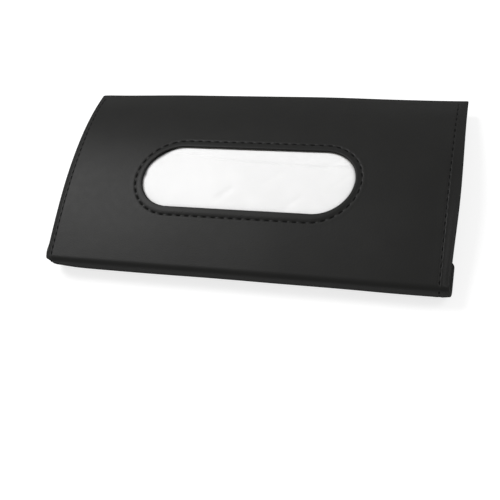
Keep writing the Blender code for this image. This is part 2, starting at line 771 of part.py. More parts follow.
def pack_film(route, group):
    """The clear film round the tissues, with a slit on top and a flat seal at each end."""
    start = PACK_FROM_HINGE
    end = route.front_end - PACK_TO_FOLD
    outline = lens(route, start, end, INSIDE_DEPTH, INSIDE_FLOOR, 0, PACK_BULGE)
    film = side_prism("pack_film", outline, -PACK_HALF_LENGTH, PACK_HALF_LENGTH, group)
    middle = (INSIDE_FLOOR + route.point((start + end) / 2, INSIDE_DEPTH)[1]) / 2
    y_low = route.place(start)[0] + SEAL_END_ROOM
    y_high = route.place(end)[0] - SEAL_END_ROOM
    seals = []
    for side in (-1, 1):
        across = sorted((side * (PACK_HALF_LENGTH - FILM), side * (PACK_HALF_LENGTH + SEAL_LENGTH)))
        low = (across[0], y_low, middle - SEAL_THICKNESS / 2)
        high = (across[1], y_high, middle + SEAL_THICKNESS / 2)
        seals.append(slab("seal", low, high, group))
    reshape(film, seals, "UNION")
    hollow = lens(route, start, end, INSIDE_DEPTH, INSIDE_FLOOR, FILM, PACK_BULGE)
    inside = PACK_HALF_LENGTH - FILM
    slit = WINDOW_FROM_HINGE + SLIT_ABOVE_WINDOW_CENTRE
    low, high = slit - SLIT_WIDTH / 2, slit + SLIT_WIDTH / 2
    above, under = INSIDE_DEPTH - FILM, INSIDE_DEPTH + 2 * FILM
    corners = ((low, above), (high, above), (high, under), (low, under))
    cut = [route.point(along, depth) for along, depth in corners]
    tools = [
        side_prism("hollow", hollow, -inside, inside, group),
        side_prism("slit", cut, -SLIT_LENGTH / 2, SLIT_LENGTH / 2, group),
    ]
    reshape(film, tools)
    return film


def tissues(route, group):
    """The folded stack, one sheet in a zigzag, and the next tissue lying on it."""
    inset = FILM + TISSUE_ROOM
    start = PACK_FROM_HINGE + inset
    end = route.front_end - PACK_TO_FOLD - inset
    half = PACK_HALF_LENGTH - inset
    top = INSIDE_DEPTH + inset
    steps = [start + (end - start) * step / PROFILE_STEPS for step in range(PROFILE_STEPS + 1)]
    outline = [route.point(step, top + TOP_TISSUE) for step in steps]
    outline += [route.point(step, top) for step in reversed(steps)]
    sheet = side_prism("top_tissue", outline, -half, half, group)

    ceiling = top + TOP_TISSUE + TISSUE_ROOM
    floor = INSIDE_FLOOR + inset

    def at(along, share):
        y, z = route.point(along, ceiling)
        return y, floor + (z - floor) * share

    def slot(level, links_at_end):
        """The gap over one layer, walked in and back out from its open end."""
        share = level / TISSUE_LAYERS
        half_gap = TISSUE_GAP_SHARE / TISSUE_LAYERS / 2
        first = start if links_at_end else start + TISSUE_LINK
        last = end - TISSUE_LINK if links_at_end else end
        walk = [first + (last - first) * step / PROFILE_STEPS for step in range(PROFILE_STEPS + 1)]
        lower = [at(step, share - half_gap) for step in walk]
        upper = [at(step, share + half_gap) for step in walk]
        return upper + lower[::-1] if links_at_end else lower[::-1] + upper

    outline = [at(start, 0), at(end, 0)]
    for level in range(1, TISSUE_LAYERS, 2):
        outline += slot(level, False)
    outline += [at(step, 1) for step in reversed(steps)]
    for level in range(TISSUE_LAYERS - 1 - (TISSUE_LAYERS - 1) % 2, 1, -2):
        outline += slot(level, True)
    stack = side_prism("tissue_stack", outline, -half, half, group)
    return sheet, stack


def dress(pieces, finish):
    """Gives pieces their material, and smooth shading across their gentle bends."""
    for piece in pieces:
        piece.data.materials.clear()
        piece.data.materials.append(finish)
        piece.data.shade_smooth()
        piece.data.set_sharp_from_angle(angle=SMOOTH_ANGLE)


def hang_on_hinge(pieces, route):
    """Puts the flap's pieces on an empty at the hinge line, where the front ends."""
    y, z, _ = route.place(0)
    hinge = bpy.data.objects.new("flap_hinge", None)
    hinge.location = (0, y, z)
    bpy.context.scene.collection.objects.link(hinge)
    bpy.context.view_layer.update()
    for piece in pieces:
        piece.parent = hinge
        piece.matrix_parent_inverse = hinge.matrix_world.inverted()


def main():
    clear_scene()
    group = new_collection("car_tissue_holder")
    route = outer_route()

    leather = material("black_leather", (0.022, 0.022, 0.024), 0.45)
    card = material("grey_board", (0.30, 0.29, 0.27), 0.8)
    cloth = material("lining_cloth", (0.035, 0.035, 0.038), 0.9)
    black_thread = material("black_thread", (0.012, 0.012, 0.013), 0.6)
    elastic = material("black_elastic", (0.02, 0.02, 0.022), 0.85)
    steel = material("strike_steel", (0.62, 0.62, 0.64), 0.35, 1.0)
    nickel = material("magnet_nickel", (0.72, 0.70, 0.67), 0.25, 1.0)
    film = material("clear_film", (0.95, 0.96, 0.97), 0.12, 0.0, 0.3)
    tissue = material("white_tissue", (0.9, 0.9, 0.9), 0.9)

    back, back_board, back_lining = back_panel(group)
    front_board, front_lining = front_layers(route, group)
    dress([front_leather(route, group), back], leather)
    dress([front_board, back_board], card)
    sides = [gusset("left_gusset", -1, route, group), gusset("right_gusset", 1, route, group)]
    dress([front_lining, back_lining, *sides], cloth)
    dress(front_seams(route, group), black_thread)

    plate_base = BACK_LEVEL + BOARD_DEPTH
    magnet_base = FLAP_LEVEL + BOARD_DEPTH
    plates = []
    magnets = []
    for side, x in (("left", -MAGNET_SPREAD), ("right", MAGNET_SPREAD)):
        plates.append(disc(f"strike_plate_{side}", x, BOARD, plate_base, group))
        magnets.append(disc(f"flap_magnet_{side}", x, BOARD, magnet_base, group))
        band, *seams = strap(f"strap_{side}", -STRAP_SPREAD if x < 0 else STRAP_SPREAD, group)
        dress([band], elastic)
        dress(seams, black_thread)
    dress(plates, steel)
    dress(magnets, nickel)

    dress([pack_film(route, group)], film)
    dress(tissues(route, group), tissue)

    flap = flap_leather(route, group)
    board, lining, seam = flap_layers(route, group)
    dress([flap], leather)
    dress([board], card)
    dress([lining], cloth)
    dress([seam], black_thread)
    hang_on_hinge([flap, board, lining, seam, *magnets], route)


main()
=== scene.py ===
"""The looks of the car tissue holder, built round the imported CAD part.

The leather, cloth, bands, stitches, film and tissues are modelled here. The boards, plates and
magnets are the CAD part's own. Everything is in metres, in the part's frame.
A soft piece is made flat, as x across, v along the leather and a height over its outer face,
and is then laid along the route that the leather takes round the case.
"""

import math

import bpy
import numpy as np
from mathutils import Euler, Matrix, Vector, noise


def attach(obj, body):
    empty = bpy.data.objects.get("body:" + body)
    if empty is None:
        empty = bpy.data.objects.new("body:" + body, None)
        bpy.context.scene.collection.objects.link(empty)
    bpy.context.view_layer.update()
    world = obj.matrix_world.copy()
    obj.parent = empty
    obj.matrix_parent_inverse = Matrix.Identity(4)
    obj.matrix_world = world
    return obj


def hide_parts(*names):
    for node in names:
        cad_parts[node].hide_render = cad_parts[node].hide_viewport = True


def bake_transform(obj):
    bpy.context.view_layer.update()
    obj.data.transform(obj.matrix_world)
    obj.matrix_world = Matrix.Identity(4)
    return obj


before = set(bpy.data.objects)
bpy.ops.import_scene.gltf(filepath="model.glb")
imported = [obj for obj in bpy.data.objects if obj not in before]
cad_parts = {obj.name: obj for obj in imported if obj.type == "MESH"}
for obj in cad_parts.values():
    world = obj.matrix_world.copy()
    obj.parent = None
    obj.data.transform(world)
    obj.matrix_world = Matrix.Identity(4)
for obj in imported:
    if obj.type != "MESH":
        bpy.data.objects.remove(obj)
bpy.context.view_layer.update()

# The case, as in the CAD part
FRONT_HALF = 0.115
CASE_HEIGHT = 0.125
ROLL_RADIUS = 0.007
FOLD_RADIUS = 0.0045
FRONT_START_TILT = math.radians(9.4)
FRONT_END_TILT = math.radians(19.4)
FLAP_TAIL = 0.015
FLAP_CORNER = 0.004
WRAP_LENGTH = 0.015
BACK_INSET = 0.0015
BACK_TOP_ROOM = 0.001

# Layers, from the outer face inwards
LEATHER = 0.0009
BOARD = 0.001
LINING = 0.0004
LAYER_GAP = 0.0003
BOARD_DEPTH = LEATHER + LAYER_GAP
LINING_DEPTH = BOARD_DEPTH + BOARD + LAYER_GAP
TURNED_DEPTH = LINING_DEPTH + LEATHER
LINED_DEPTH = LINING_DEPTH + LINING
HINGE_DEPTH = 0.0017
HINGE_STRIP = 0.0012

# Elastic straps, and the heights that follow from them
STRAP_WIDTH = 0.025
STRAP_THICKNESS = 0.0012
STRAP_SPREAD = 0.062
STRAP_FROM_TOP = 0.019
STRAP_FROM_FLAP = 0.0055
STRAP_TAB = 0.009
STRAP_BEND = 0.012
STRAP_SEAM_MARGIN = 0.0018
STRAP_STITCHES = 6
STRAP_RIBS = 22
STRAP_RIB_RISE = 0.00014
STRAP_EDGE = 0.0006
STRAP_EDGE_DROP = 0.00035
VISOR_GAP = 0.0046
BACK_LEVEL = STRAP_THICKNESS + VISOR_GAP
FLAP_LEVEL = BACK_LEVEL - LAYER_GAP - LINED_DEPTH
WRAP_LEVEL = BACK_LEVEL - LAYER_GAP - LEATHER
TAB_LEVEL = BACK_LEVEL - LAYER_GAP - STRAP_THICKNESS
ROLL_Y = ROLL_RADIUS - CASE_HEIGHT / 2
FOLD_Y = CASE_HEIGHT / 2 - FOLD_RADIUS
FOLD_Z = WRAP_LEVEL + FOLD_RADIUS
ROLL_LENGTH = ROLL_RADIUS * (math.pi - FRONT_START_TILT)
FLAP_START = -FLAP_TAIL - ROLL_LENGTH
BACK_TOP = FOLD_Y - BACK_TOP_ROOM
BACK_LENGTH = BACK_TOP - ROLL_Y
BACK_HALF = FRONT_HALF - BACK_INSET

# The window
WINDOW_LENGTH = 0.1240
WINDOW_WIDTH = 0.0407
WINDOW_X = -0.0030
WINDOW_V = 0.0520
WINDOW_SPINE = (WINDOW_LENGTH - WINDOW_WIDTH) / 2
WINDOW_LEAN = 0.08
LEAN_REACH = 0.006
LEAN_FADE = 0.016
RIM_TURN_IN = 0.007
RIM_ROUND = 0.00045
RIM_THICKNESS = 0.0010
RIM_PUFF = 0.00034
RIM_CREST = 0.0010
RIM_SHOULDER = 0.0028
RIM_EDGE_SHARE = 0.75
RIM_UNDERSIDE = [
    (0.0020, TURNED_DEPTH), (RIM_TURN_IN, TURNED_DEPTH), (RIM_TURN_IN, LINING_DEPTH),
    (0.0016, LINING_DEPTH), (0.00125, LINING_DEPTH - 0.0007), (0.00120, LEATHER),
]

# Edges of the leather
TURN_IN = 0.010
SLOT_INSET = 0.0074
SLOT_LIP = 0.0002
END_INSET = 0.0001
INNER_INSET = 0.001
INNER_END_INSET = 0.0022
EDGE_ROUND = 0.0009
WRAP_EDGE_ROUND = 0.00045
EDGE_DROP = 0.0024
FULL_END = [-0.010, -0.002]
FULL_END_DROP = 0.25
LEFT_STRAIGHT = 0.85
RIGHT_STRAIGHT = 0.1
EDGE_FADE = 0.022
ROLL_CORNER = 0.0031
FOLD_EASE = 0.0025

# Where the turned-in edges thin out, from the hinge and from the top fold
HINGE_THIN = 0.0015
HINGE_FULL = 0.005
FOLD_FULL = 0.006
FOLD_THIN = 0.001

# Half the leather's width: at the flap's edge, these places, the fold's two ends and the wrap's
HALF_PLACES = [-0.011, -0.003, 0.050]
LEFT_HALVES = [0.1153, 0.1153, 0.1147, 0.1150, 0.1146, 0.1126, 0.1130]
RIGHT_HALVES = [0.1151, 0.1151, 0.1143, 0.1156, 0.1144, 0.1138, 0.1136]

# Seams
SEAM_LEFT = 0.1107
SEAM_RIGHT = 0.1091
SEAM_SPINE = 0.0406
SEAM_BEND = 0.02525
SEAM_X = -0.0033
SEAM_V = 0.05155
SEAM_AROUND = 4 * SEAM_SPINE + 2 * math.pi * SEAM_BEND
FLAP_SEAM = 0.003
WRAP_SEAM = 0.004
SEAM_ROOM = 0.003
SEAM_FADE = 0.001
STITCH_ROOM = 0.001
SEAM_TO_FOLD = 0.002
WINDOW_PITCH = 0.0052
WINDOW_STITCHES = round(SEAM_AROUND / WINDOW_PITCH)
LEFT_PITCH = 0.0041
RIGHT_PITCH = 0.0047
CROSS_PITCH = 0.0047
SIDE_SEAMS = [("left", -SEAM_LEFT, LEFT_PITCH), ("right", SEAM_RIGHT, RIGHT_PITCH)]
STITCH_LENGTH = 0.0027
STITCH_RADIUS = 0.00025
STITCH_SINK = 0.00024
STITCH_DIP = 0.0005
STITCH_DIP_POWER = 5
TAB_STITCH_LEVEL = 0.0003
THREAD_SIDES = 8
THREAD_SHARES = np.array([-1, -0.93, -0.75, -0.4, 0, 0.4, 0.75, 0.93, 1])
THREAD_RADIUS_SHARES = np.array([0.45, 0.75, 0.95, 1, 1, 1, 0.95, 0.75, 0.45])
CHANNEL_DEPTH = 0.00006
CHANNEL_WIDTH = 0.0006
DIMPLE_DEPTH = 0.00042
DIMPLE_WIDTH = 0.00038
DIMPLE_PAST = 0.0006
DIMPLE_FADE = 0.0007
BANK_RISE = 0.00005
BANK_SHARE = 0.6
BANK_FROM_SEAM = 0.0016
BANK_WIDTH = 0.0009

# Where the leather is pinched or sags: a centre, how far it moves, and how far that reaches
SOFT_SPOTS = [
    ((-0.117, -0.0600, 0.006), (0.0003, 0.0012, 0.0012), (0.014, 0.007, 0.007)),
    ((0.095, -0.0620, 0.006), (0.0, -0.0004, -0.0003), (0.060, 0.010, 0.012)),
    ((-0.1155, 0.0615, 0.013), (0.0005, -0.0001, -0.0002), (0.004, 0.005, 0.005)),
    ((-0.115, 0.0600, 0.012), (0.0, -0.0003, -0.0010), (0.055, 0.010, 0.020)),
    ((0.020, 0.0600, 0.012), (0.0, 0.0, 0.0002), (0.060, 0.010, 0.020)),
    ((0.095, 0.0600, 0.012), (0.0, -0.0002, -0.0010), (0.040, 0.010, 0.020)),
]

# Soft unevenness of the leather
WAVE_LENGTH = 0.040
WAVE_HEIGHT = 0.00022
FRONT_SEED = 0.3
BACK_SEED = 4.7

# How far the linings stop short
LINING_FROM_HINGE = 0.0015
LINING_TO_FOLD = 0.002
FLAP_LINING_INSET = 0.0012
FLAP_LINING_ROOM = 0.0004
FLAP_LINING_WIDER = 0.0018

# The pack of tissues
PACK_FROM_HINGE = 0.008
PACK_TO_FOLD = 0.016
PACK_HALF = 0.086
PACK_END = 0.012
PACK_TAPER = 2.2
PACK_BULGE = 0.0015
BULGE_SHARES = np.array([0.25, 0.5, 0.75])
RISE_FADE = 4
END_NARROWING_SHARE = 0.02
SEAL_LENGTH = 0.009
SEAL_THICKNESS = 0.00032
FILM = 0.0004
TISSUE_ROOM = 0.0003
TISSUE_SIDE_ROOM = 0.004
TOP_TISSUE = 0.0006
TISSUE_SHEET = 0.00025
TISSUE_DROP = 0.0004
TISSUE_END = 0.02
TISSUE_END_DROP = 0.0012
TISSUE_FOLDS = [(0.7 / 0.022, 0.5 / 0.016), (-0.3 / 0.022, 0.8 / 0.016)]
TISSUE_FOLD_RISE = 0.00022
TISSUE_SEED = 2.2
TISSUE_LAYERS = 9
STACK_SHEET = 0.00022
STACK_ROOM = 0.0015
STACK_END_DROP = 0.0010
STACK_END_POWER = 8

# The slit in the wrapping, as (x, v), and the step in the wrapping there
SLIT_LENGTH = 0.130
SLIT_LINE = [
    (-0.066, 0.0690), (-0.044, 0.0684), (-0.031, 0.0665), (-0.0185, 0.0649), (-0.006, 0.0640),
    (0.006, 0.0637), (0.0175, 0.0631), (0.029, 0.0626), (0.037, 0.0624), (0.066, 0.0634),
]
SLIT_GAP = 0.00014
SLIT_PULL = 0.010
SLIT_STEP = 0.0004
SLIT_STEP_HALF = 0.0009
SLIT_STEP_FADE = [0.0001, 0.0008]

# How far the pack swells up, by how far inside the window's edge
BULGE = [
    (-0.0023, 0), (-0.0020, 0.0002), (-0.0015, 0.00085), (-0.0010, 0.0016), (-0.0007, 0.00205),
    (-0.00045, 0.0023), (0.0003, 0.0030), (0.003, 0.0032), (0.012, 0.0033),
]

# Where it swells less: a centre, how far that reaches each way, and the share that is lost
PACK_DIPS = [(-0.056, 0.067, 0.014, 0.007, 0.13), (-0.0645, 0.0525, 0.0026, 0.0018, 0.20)]

# Creases in the wrapping: start, end, depth and width
PACK_CREASES = [
    ((-0.0165, 0.0395), (-0.0110, 0.0450), 0.00026, 0.0021),
    ((0.0229, 0.0357), (0.0297, 0.0419), 0.00016, 0.0017),
    ((0.0080, 0.0505), (0.0170, 0.0575), 0.00014, 0.0026),
    ((0.0438, 0.0637), (0.0536, 0.0696), 0.00018, 0.0018),
    ((0.0480, 0.0500), (0.0540, 0.0560), 0.00012, 0.0013),
]

# Fine wrinkles in the wrapping: length, slant, height and noise seed
FILM_WRINKLES = [(0.030, 0.9, 0.000576, 1.3), (0.016, -0.5, 0.000288, 7.9)]
WRINKLE_STRETCH = 3

# The room inside the case
INSIDE_DEPTH = TURNED_DEPTH + LAYER_GAP
INSIDE_FLOOR = BACK_LEVEL + TURNED_DEPTH + LAYER_GAP

# Gussets
GUSSET_OUTER = BACK_HALF - 0.001
GUSSET_INNER = GUSSET_OUTER - 0.010
GUSSET_CLOTH = 0.0006
GUSSET_SHEET = 0.00048
GUSSET_FROM_HINGE = 0.0015
GUSSET_TO_FOLD = 0.006

# The lower half of a gusset's section, as shares of its width and height
GUSSET_FOLD_SHARES = [
    (0.0, 0.0), (0.5, 0.0), (0.93, 0.0), (1.0, 0.03), (0.97, 0.14), (0.75, 0.32), (0.45, 0.5),
]

# The gussets' ripples: height, turns per metre and how far the two sides differ
GUSSET_RIPPLES = [(0.0004, 260, 0), (0.0003, 731, 1)]

# Fineness of the modelling, and where the leather is finer: round the window and at the seams
SAMPLE_SHARES = np.arange(1, 601) / 600
TINY = 1e-9
COARSE = 4
EDGE_STEPS = 6
SHARP_ANGLE = 50
PATCH_LENGTH = 0.148
PATCH_WIDTH = 0.064
SEAM_ZONE = 0.0017
FLAP_ZONE = 0.002
WRAP_ZONE = 0.0015
OUTER_RING = 0.010
RINGS = [(0.0068, 4), (0.0064, 1), (0.0034, 10), (0.0030, 1), (RIM_ROUND, 5)]
RINGS_TO_PATCH = 5

# The camera, from a fit to the outline of the case in the photo
CAMERA_PLACE = (0.13971, -0.26558, 0.42097)
CAMERA_TURN = (30.083, 12.217, 11.307)
CAMERA_LENS = 63.283
CAMERA_SENSOR = 36.0
CAMERA_NEAREST = 0.01

# Lamps: name, place, size and power
LAMPS = [
    ("key_light", (-0.76, 0.38, 1.12), 0.75, 14.6), ("fill_light", (0.87, 0.15, 1.05), 0.6, 3.6),
]
SURROUND_LIGHT = 0.35
FLOOR_HALF = 4.0
FLOOR_COLOUR = 0.4
FLOOR_GLOW = 0.75


class Route:
    """A path in the YZ plane, finely sampled. Its outer side is on the left of its heading."""

    def __init__(self, y, z, heading, start):
        self.samples = [(start, y, z, heading)]

    @property
    def end(self):
        return self.samples[-1][0]

    def straight(self, length):
        along, y, z, heading = self.samples[-1]
        y += length * math.cos(heading)
        z += length * math.sin(heading)
        self.samples.append((along + length, y, z, heading))

    def turn(self, radius, angle):
        """Turns clockwise, towards the inner side, or the other way for a negative angle."""
        along, y, z, heading = self.samples[-1]
        radius = math.copysign(radius, angle)
        y += radius * math.sin(heading)
        z -= radius * math.cos(heading)
        for t in SAMPLE_SHARES:
            now = heading - angle * t
            place = (y - radius * math.sin(now), z + radius * math.cos(now), now)
            self.samples.append((along + radius * angle * t, *place))

    def arch(self, y, z, heading):
        """Rises and falls in one smooth sweep to a point, where it has the given heading."""
        along, y0, z0, heading0 = self.samples[-1]
        run = y - y0
        first, last = run * math.tan(heading0), run * math.tan(heading)
        before = (y0, z0)
        for t in SAMPLE_SHARES:
            rise = (z - z0) * t * t * (3 - 2 * t)
            height = z0 + rise + first * t * (1 - t) ** 2 - last * t * t * (1 - t)
            slope = (z - z0) * 6 * t * (1 - t) + first * (1 - t) * (1 - 3 * t)
            slope -= last * t * (2 - 3 * t)
            now = (y0 + run * t, height)
            along += math.dist(before, now)
            self.samples.append((along, *now, math.atan2(slope, run)))
            before = now

    def lay(self, flat):
        """Flat points (x, v, height over the outer face) as places (x, y, z)."""
        x, v, height = np.asarray(flat, float).T
        along, y, z, heading = np.array(self.samples).T
        turn = np.interp(v, along, heading)
        across = np.interp(v, along, y) - height * np.sin(turn)
        up = np.interp(v, along, z) + height * np.cos(turn)
        return np.column_stack([x, across, up])

    def under(self, v, depth):
        """Places (y, z) along the route, this far under its outer face."""
        return self.lay(np.column_stack([0 * v, v, 0 * v - depth]))[:, 1:]


def outer_route():
    """The leather's outer face: flap, bottom roll, front, top fold, wrap on the back."""
    route = Route(ROLL_Y + FLAP_TAIL, FLAP_LEVEL, math.pi, FLAP_START)
    route.straight(FLAP_TAIL)
    route.turn(ROLL_RADIUS, math.pi - FRONT_START_TILT)
    route.arch(
        FOLD_Y + FOLD_RADIUS * math.sin(FRONT_END_TILT),
        FOLD_Z + FOLD_RADIUS * math.cos(FRONT_END_TILT),
        -FRONT_END_TILT,
    )
    route.front_end = route.end
    route.turn(FOLD_RADIUS, math.pi - FRONT_END_TILT)
    route.fold_end = route.end
    route.straight(WRAP_LENGTH)
    return route


def back_route():
    """The outer face of the back panel, from its top edge down."""
    route = Route(BACK_TOP, BACK_LEVEL, math.pi, 0)
    route.straight(BACK_LENGTH)
    return route


def strap_route():
    """The outer face of a strap: a sewn tab, the bow that a visor goes under, another tab."""
    swing = math.acos(1 - TAB_LEVEL / (2 * STRAP_BEND))
    top = BACK_TOP - STRAP_FROM_TOP
    bottom = ROLL_Y + FLAP_TAIL + STRAP_FROM_FLAP
    crown = top - bottom - 2 * STRAP_TAB - 4 * STRAP_BEND * math.sin(swing)
    route = Route(top, TAB_LEVEL, math.pi, 0)
    for length, angle in ((STRAP_TAB, -swing), (0, swing), (crown, swing), (0, -swing)):
        route.straight(length)
        route.turn(STRAP_BEND, angle)
    route.straight(STRAP_TAB)
    return route


FRONT = outer_route()


class Shell:
    """Flat points (x, v, height) and the faces between them."""

    def __init__(self):
        self.points = []
        self.faces = []

    def add(self, x, v, height):
        first = len(self.points)
        added = np.broadcast_arrays(x, v, height)
        self.points.extend(zip(*[values.tolist() for values in added]))
        return list(range(first, len(self.points)))

    def stack(self, last, loops, outwards=False):
        """Adds loops of flat places, each joined to the one before, and gives the last one."""
        for loop in loops:
            new = self.add(*loop)
            if outwards:
                self.bridge(new, last)
            else:
                self.bridge(last, new)
            last = new
        return last

    def cover(self, nodes, faces):
        """Adds faces whose corners are numbers of the given nodes."""
        self.faces += [[nodes[n] for n in face] for face in faces]

    def bridge(self, outer, inner):
        """Faces between two anticlockwise loops, one of which may be some times finer."""
        count = min(len(outer), len(inner))
        many, few = len(outer) // count, len(inner) // count
        for step in range(count):
            face = [outer[(many * step + k) % len(outer)] for k in range(many + 1)]
            face += [inner[(few * step + k) % len(inner)] for k in range(few, -1, -1)]
            self.faces.append(face)


def spaced(start, *stretches):
    """Places through stretches given as (end, cells), and the count at each end."""
    places = [start]
    marks = [0]
    for end, cells in stretches:
        places += np.linspace(places[-1], end, cells + 1)[1:].tolist()
        marks.append(len(places) - 1)
    return np.array(places), marks


def grid(rows, columns, hole=None):
    """A grid of flat places, less those inside a hole.

    Gives the places, the faces, and the outer loop and the hole's loop, both anticlockwise.
    """
    low, high, left, right = hole or (0, 0, 0, 0)
    places = []
    index = {}
    for j, v in enumerate(rows):
        for i, x in enumerate(columns):
            if not (low < j < high and left < i < right):
                index[j, i] = len(places)
                places.append((x, v))
    faces = []
    for j in range(len(rows) - 1):
        for i in range(len(columns) - 1):
            if not (low <= j < high and left <= i < right):
                faces.append([index[j, i], index[j, i + 1], index[j + 1, i + 1], index[j + 1, i]])

    def loop(low, high, left, right):
        found = [index[low, i] for i in range(left, right)]
        found += [index[j, right] for j in range(low, high)]
        found += [index[high, i] for i in range(right, left, -1)]
        return found + [index[j, left] for j in range(high, low, -1)]

    outline = loop(0, len(rows) - 1, 0, len(columns) - 1)
    return np.array(places), faces, outline, loop(*hole) if hole else []


def from_long_round(x, v, centre, spine, bend):
    """The nearest points of a long round's middle line, the way out, how far outside it."""
    foot = np.column_stack([
        np.clip(x, centre[0] - spine, centre[0] + spine), np.full(len(x), centre[1])
    ])
    out = np.column_stack([x, v]) - foot
    reach = np.linalg.norm(out, axis=1)
    return foot, out / np.maximum(reach, TINY)[:, None], reach - bend


def from_window(x, v):
    """How points lie to the window's edge."""
    return from_long_round(x, v, (WINDOW_X, WINDOW_V), WINDOW_SPINE, WINDOW_WIDTH / 2)


def window_lean(x, v):
    """How far the window and what is near it lean to the right, up the front."""
    outside = from_window(x, v)[2]
    return WINDOW_LEAN * (v - WINDOW_V) * (1 - eased(outside, [LEAN_REACH, LEAN_FADE], [0, 1]))


def along_window_seam(foot, out):
    """How far along the window's seam the points are, from the left of its lower side."""
    turn = np.arctan2(out[:, 0], -out[:, 1])
    on_right = foot[:, 0] - (SEAM_X - SEAM_SPINE)
    upper = SEAM_AROUND / 2 + 2 * SEAM_SPINE - on_right
    right = 2 * SEAM_SPINE + turn * SEAM_BEND
    left = 4 * SEAM_SPINE + turn % (2 * math.pi) * SEAM_BEND
    straight = np.abs(out[:, 0]) < TINY
    along = np.where(out[:, 0] > 0, right, left)
    return np.where(straight, np.where(out[:, 1] < 0, on_right, upper), along)


def window_seam_place(along):
    """A place on the window's seam and its direction there, as (x, v, dx, dv)."""
    side = 1 if along < SEAM_AROUND / 2 else -1
    along %= SEAM_AROUND / 2
    if along < 2 * SEAM_SPINE:
        place = (along - SEAM_SPINE, -SEAM_BEND, 1, 0)
    else:
        turn = (along - 2 * SEAM_SPINE) / SEAM_BEND
        place = (SEAM_SPINE + SEAM_BEND * math.sin(turn), -SEAM_BEND * math.cos(turn))
        place += (math.cos(turn), math.sin(turn))
    x, v, dx, dv = (side * value for value in place)
    v += SEAM_V
    return SEAM_X + x + WINDOW_LEAN * (v - WINDOW_V), v, dx + WINDOW_LEAN * dv, dv


def smooth(share):
    """A share kept between 0 and 1, with both ends eased."""
    share = np.clip(share, 0, 1)
    return share * share * (3 - 2 * share)


def seam_relief(across, along, pitch):
    """What a seam does to the leather: a channel, a dimple at each stitch, a bank each side.

    Stitches are centred where along is a whole number of pitches.
    """
    from_stitch = (along / pitch - np.round(along / pitch)) * pitch
    past = np.abs(from_stitch) - STITCH_LENGTH / 2
    sewn = smooth((DIMPLE_PAST - past) / DIMPLE_FADE)
    height = -CHANNEL_DEPTH * np.exp(-(across / CHANNEL_WIDTH) ** 2)
    height -= DIMPLE_DEPTH * np.exp(-(across / DIMPLE_WIDTH) ** 2) * sewn
    banks = np.exp(-((np.abs(across) - BANK_FROM_SEAM) / BANK_WIDTH) ** 2)
    return height + BANK_RISE * banks * (BANK_SHARE + (1 - BANK_SHARE) * sewn)


def within(values, low, high):
    """One inside a span, nothing outside it, with soft ends."""
    return smooth(np.minimum(values - low, high - values) / SEAM_FADE)


def cloudy(x, v, seed):
    """Smooth noise at each place, about -1 to 1."""
    return np.array([noise.noise(Vector((a, b, seed))) for a, b in zip(x.tolist(), v.tolist())])


def leather_waves(x, v, seed):
    """Gentle unevenness, as height."""
    return WAVE_HEIGHT * cloudy(x / WAVE_LENGTH, v / WAVE_LENGTH, seed)


def eased(values, places, heights):
    """Heights between places, with level ends to each stretch."""
    places, heights = np.array(places), np.array(heights)
    at = np.clip(np.searchsorted(places, values) - 1, 0, len(places) - 2)
    share = (values - places[at]) / (places[at + 1] - places[at])
    return heights[at] + (heights[at + 1] - heights[at]) * smooth(share)


def seam_reach(x):
    """How far out the side seam is, on the side that x is on."""
    return np.where(np.asarray(x) < 0, SEAM_LEFT, SEAM_RIGHT)


def side_half(x, v):
    """Half the leather's width: drawn in at the roll and the fold, and bowed out between."""
    places = [FLAP_START, *HALF_PLACES, FRONT.front_end, FRONT.fold_end, FRONT.end]
    half = np.where(x < 0, eased(v, places, LEFT_HALVES), eased(v, places, RIGHT_HALVES))
    into_corner = np.clip((FLAP_START + FLAP_CORNER - v) / FLAP_CORNER, 0, 1)
    return half - FLAP_CORNER * (1 - np.sqrt(1 - into_corner ** 2))


def roll_shoulder(v):
    """How far the roll stands out past a round one: the front runs on to a tighter corner."""
    middle = (math.pi / 2 - FRONT_START_TILT) / 2
    turn = np.abs(np.clip(-v / ROLL_RADIUS, 0, 2 * middle) - middle)
    flat = ROLL_RADIUS / np.cos(middle - turn)
    centre = (ROLL_RADIUS - ROLL_CORNER) / math.cos(middle)
    chord = np.clip(ROLL_CORNER ** 2 - (centre * np.sin(turn)) ** 2, 0, None)
    corner = centre * np.cos(turn) + np.sqrt(chord)
    runs_on = math.atan((ROLL_RADIUS - ROLL_CORNER) * math.tan(middle) / ROLL_RADIUS)
    return np.where(middle - turn < runs_on, flat, corner) - ROLL_RADIUS


def softened(v, at, radius, reach):
    """What takes the edge off the start of a bend: it begins and ends this far from there."""
    near = np.clip(reach - np.abs(v - at), 0, None)
    return -near ** 3 / (12 * reach * radius)


def side_stitches(low, high, pitch):
    """The places along a side seam where stitches are centred."""
    first = math.ceil((low - pitch / 2) / pitch)
    last = math.floor((high - pitch / 2) / pitch)
    return [pitch * (count + 0.5) for count in range(first, last + 1)]


def cross_stitches(v):
    """The seats (x, v, dx, dv) of the stitches of a seam across the width."""
    count = math.floor((SEAM_RIGHT - SEAM_ROOM) / CROSS_PITCH)
    return [(CROSS_PITCH * step, v, 1, 0) for step in range(-count, count + 1)]


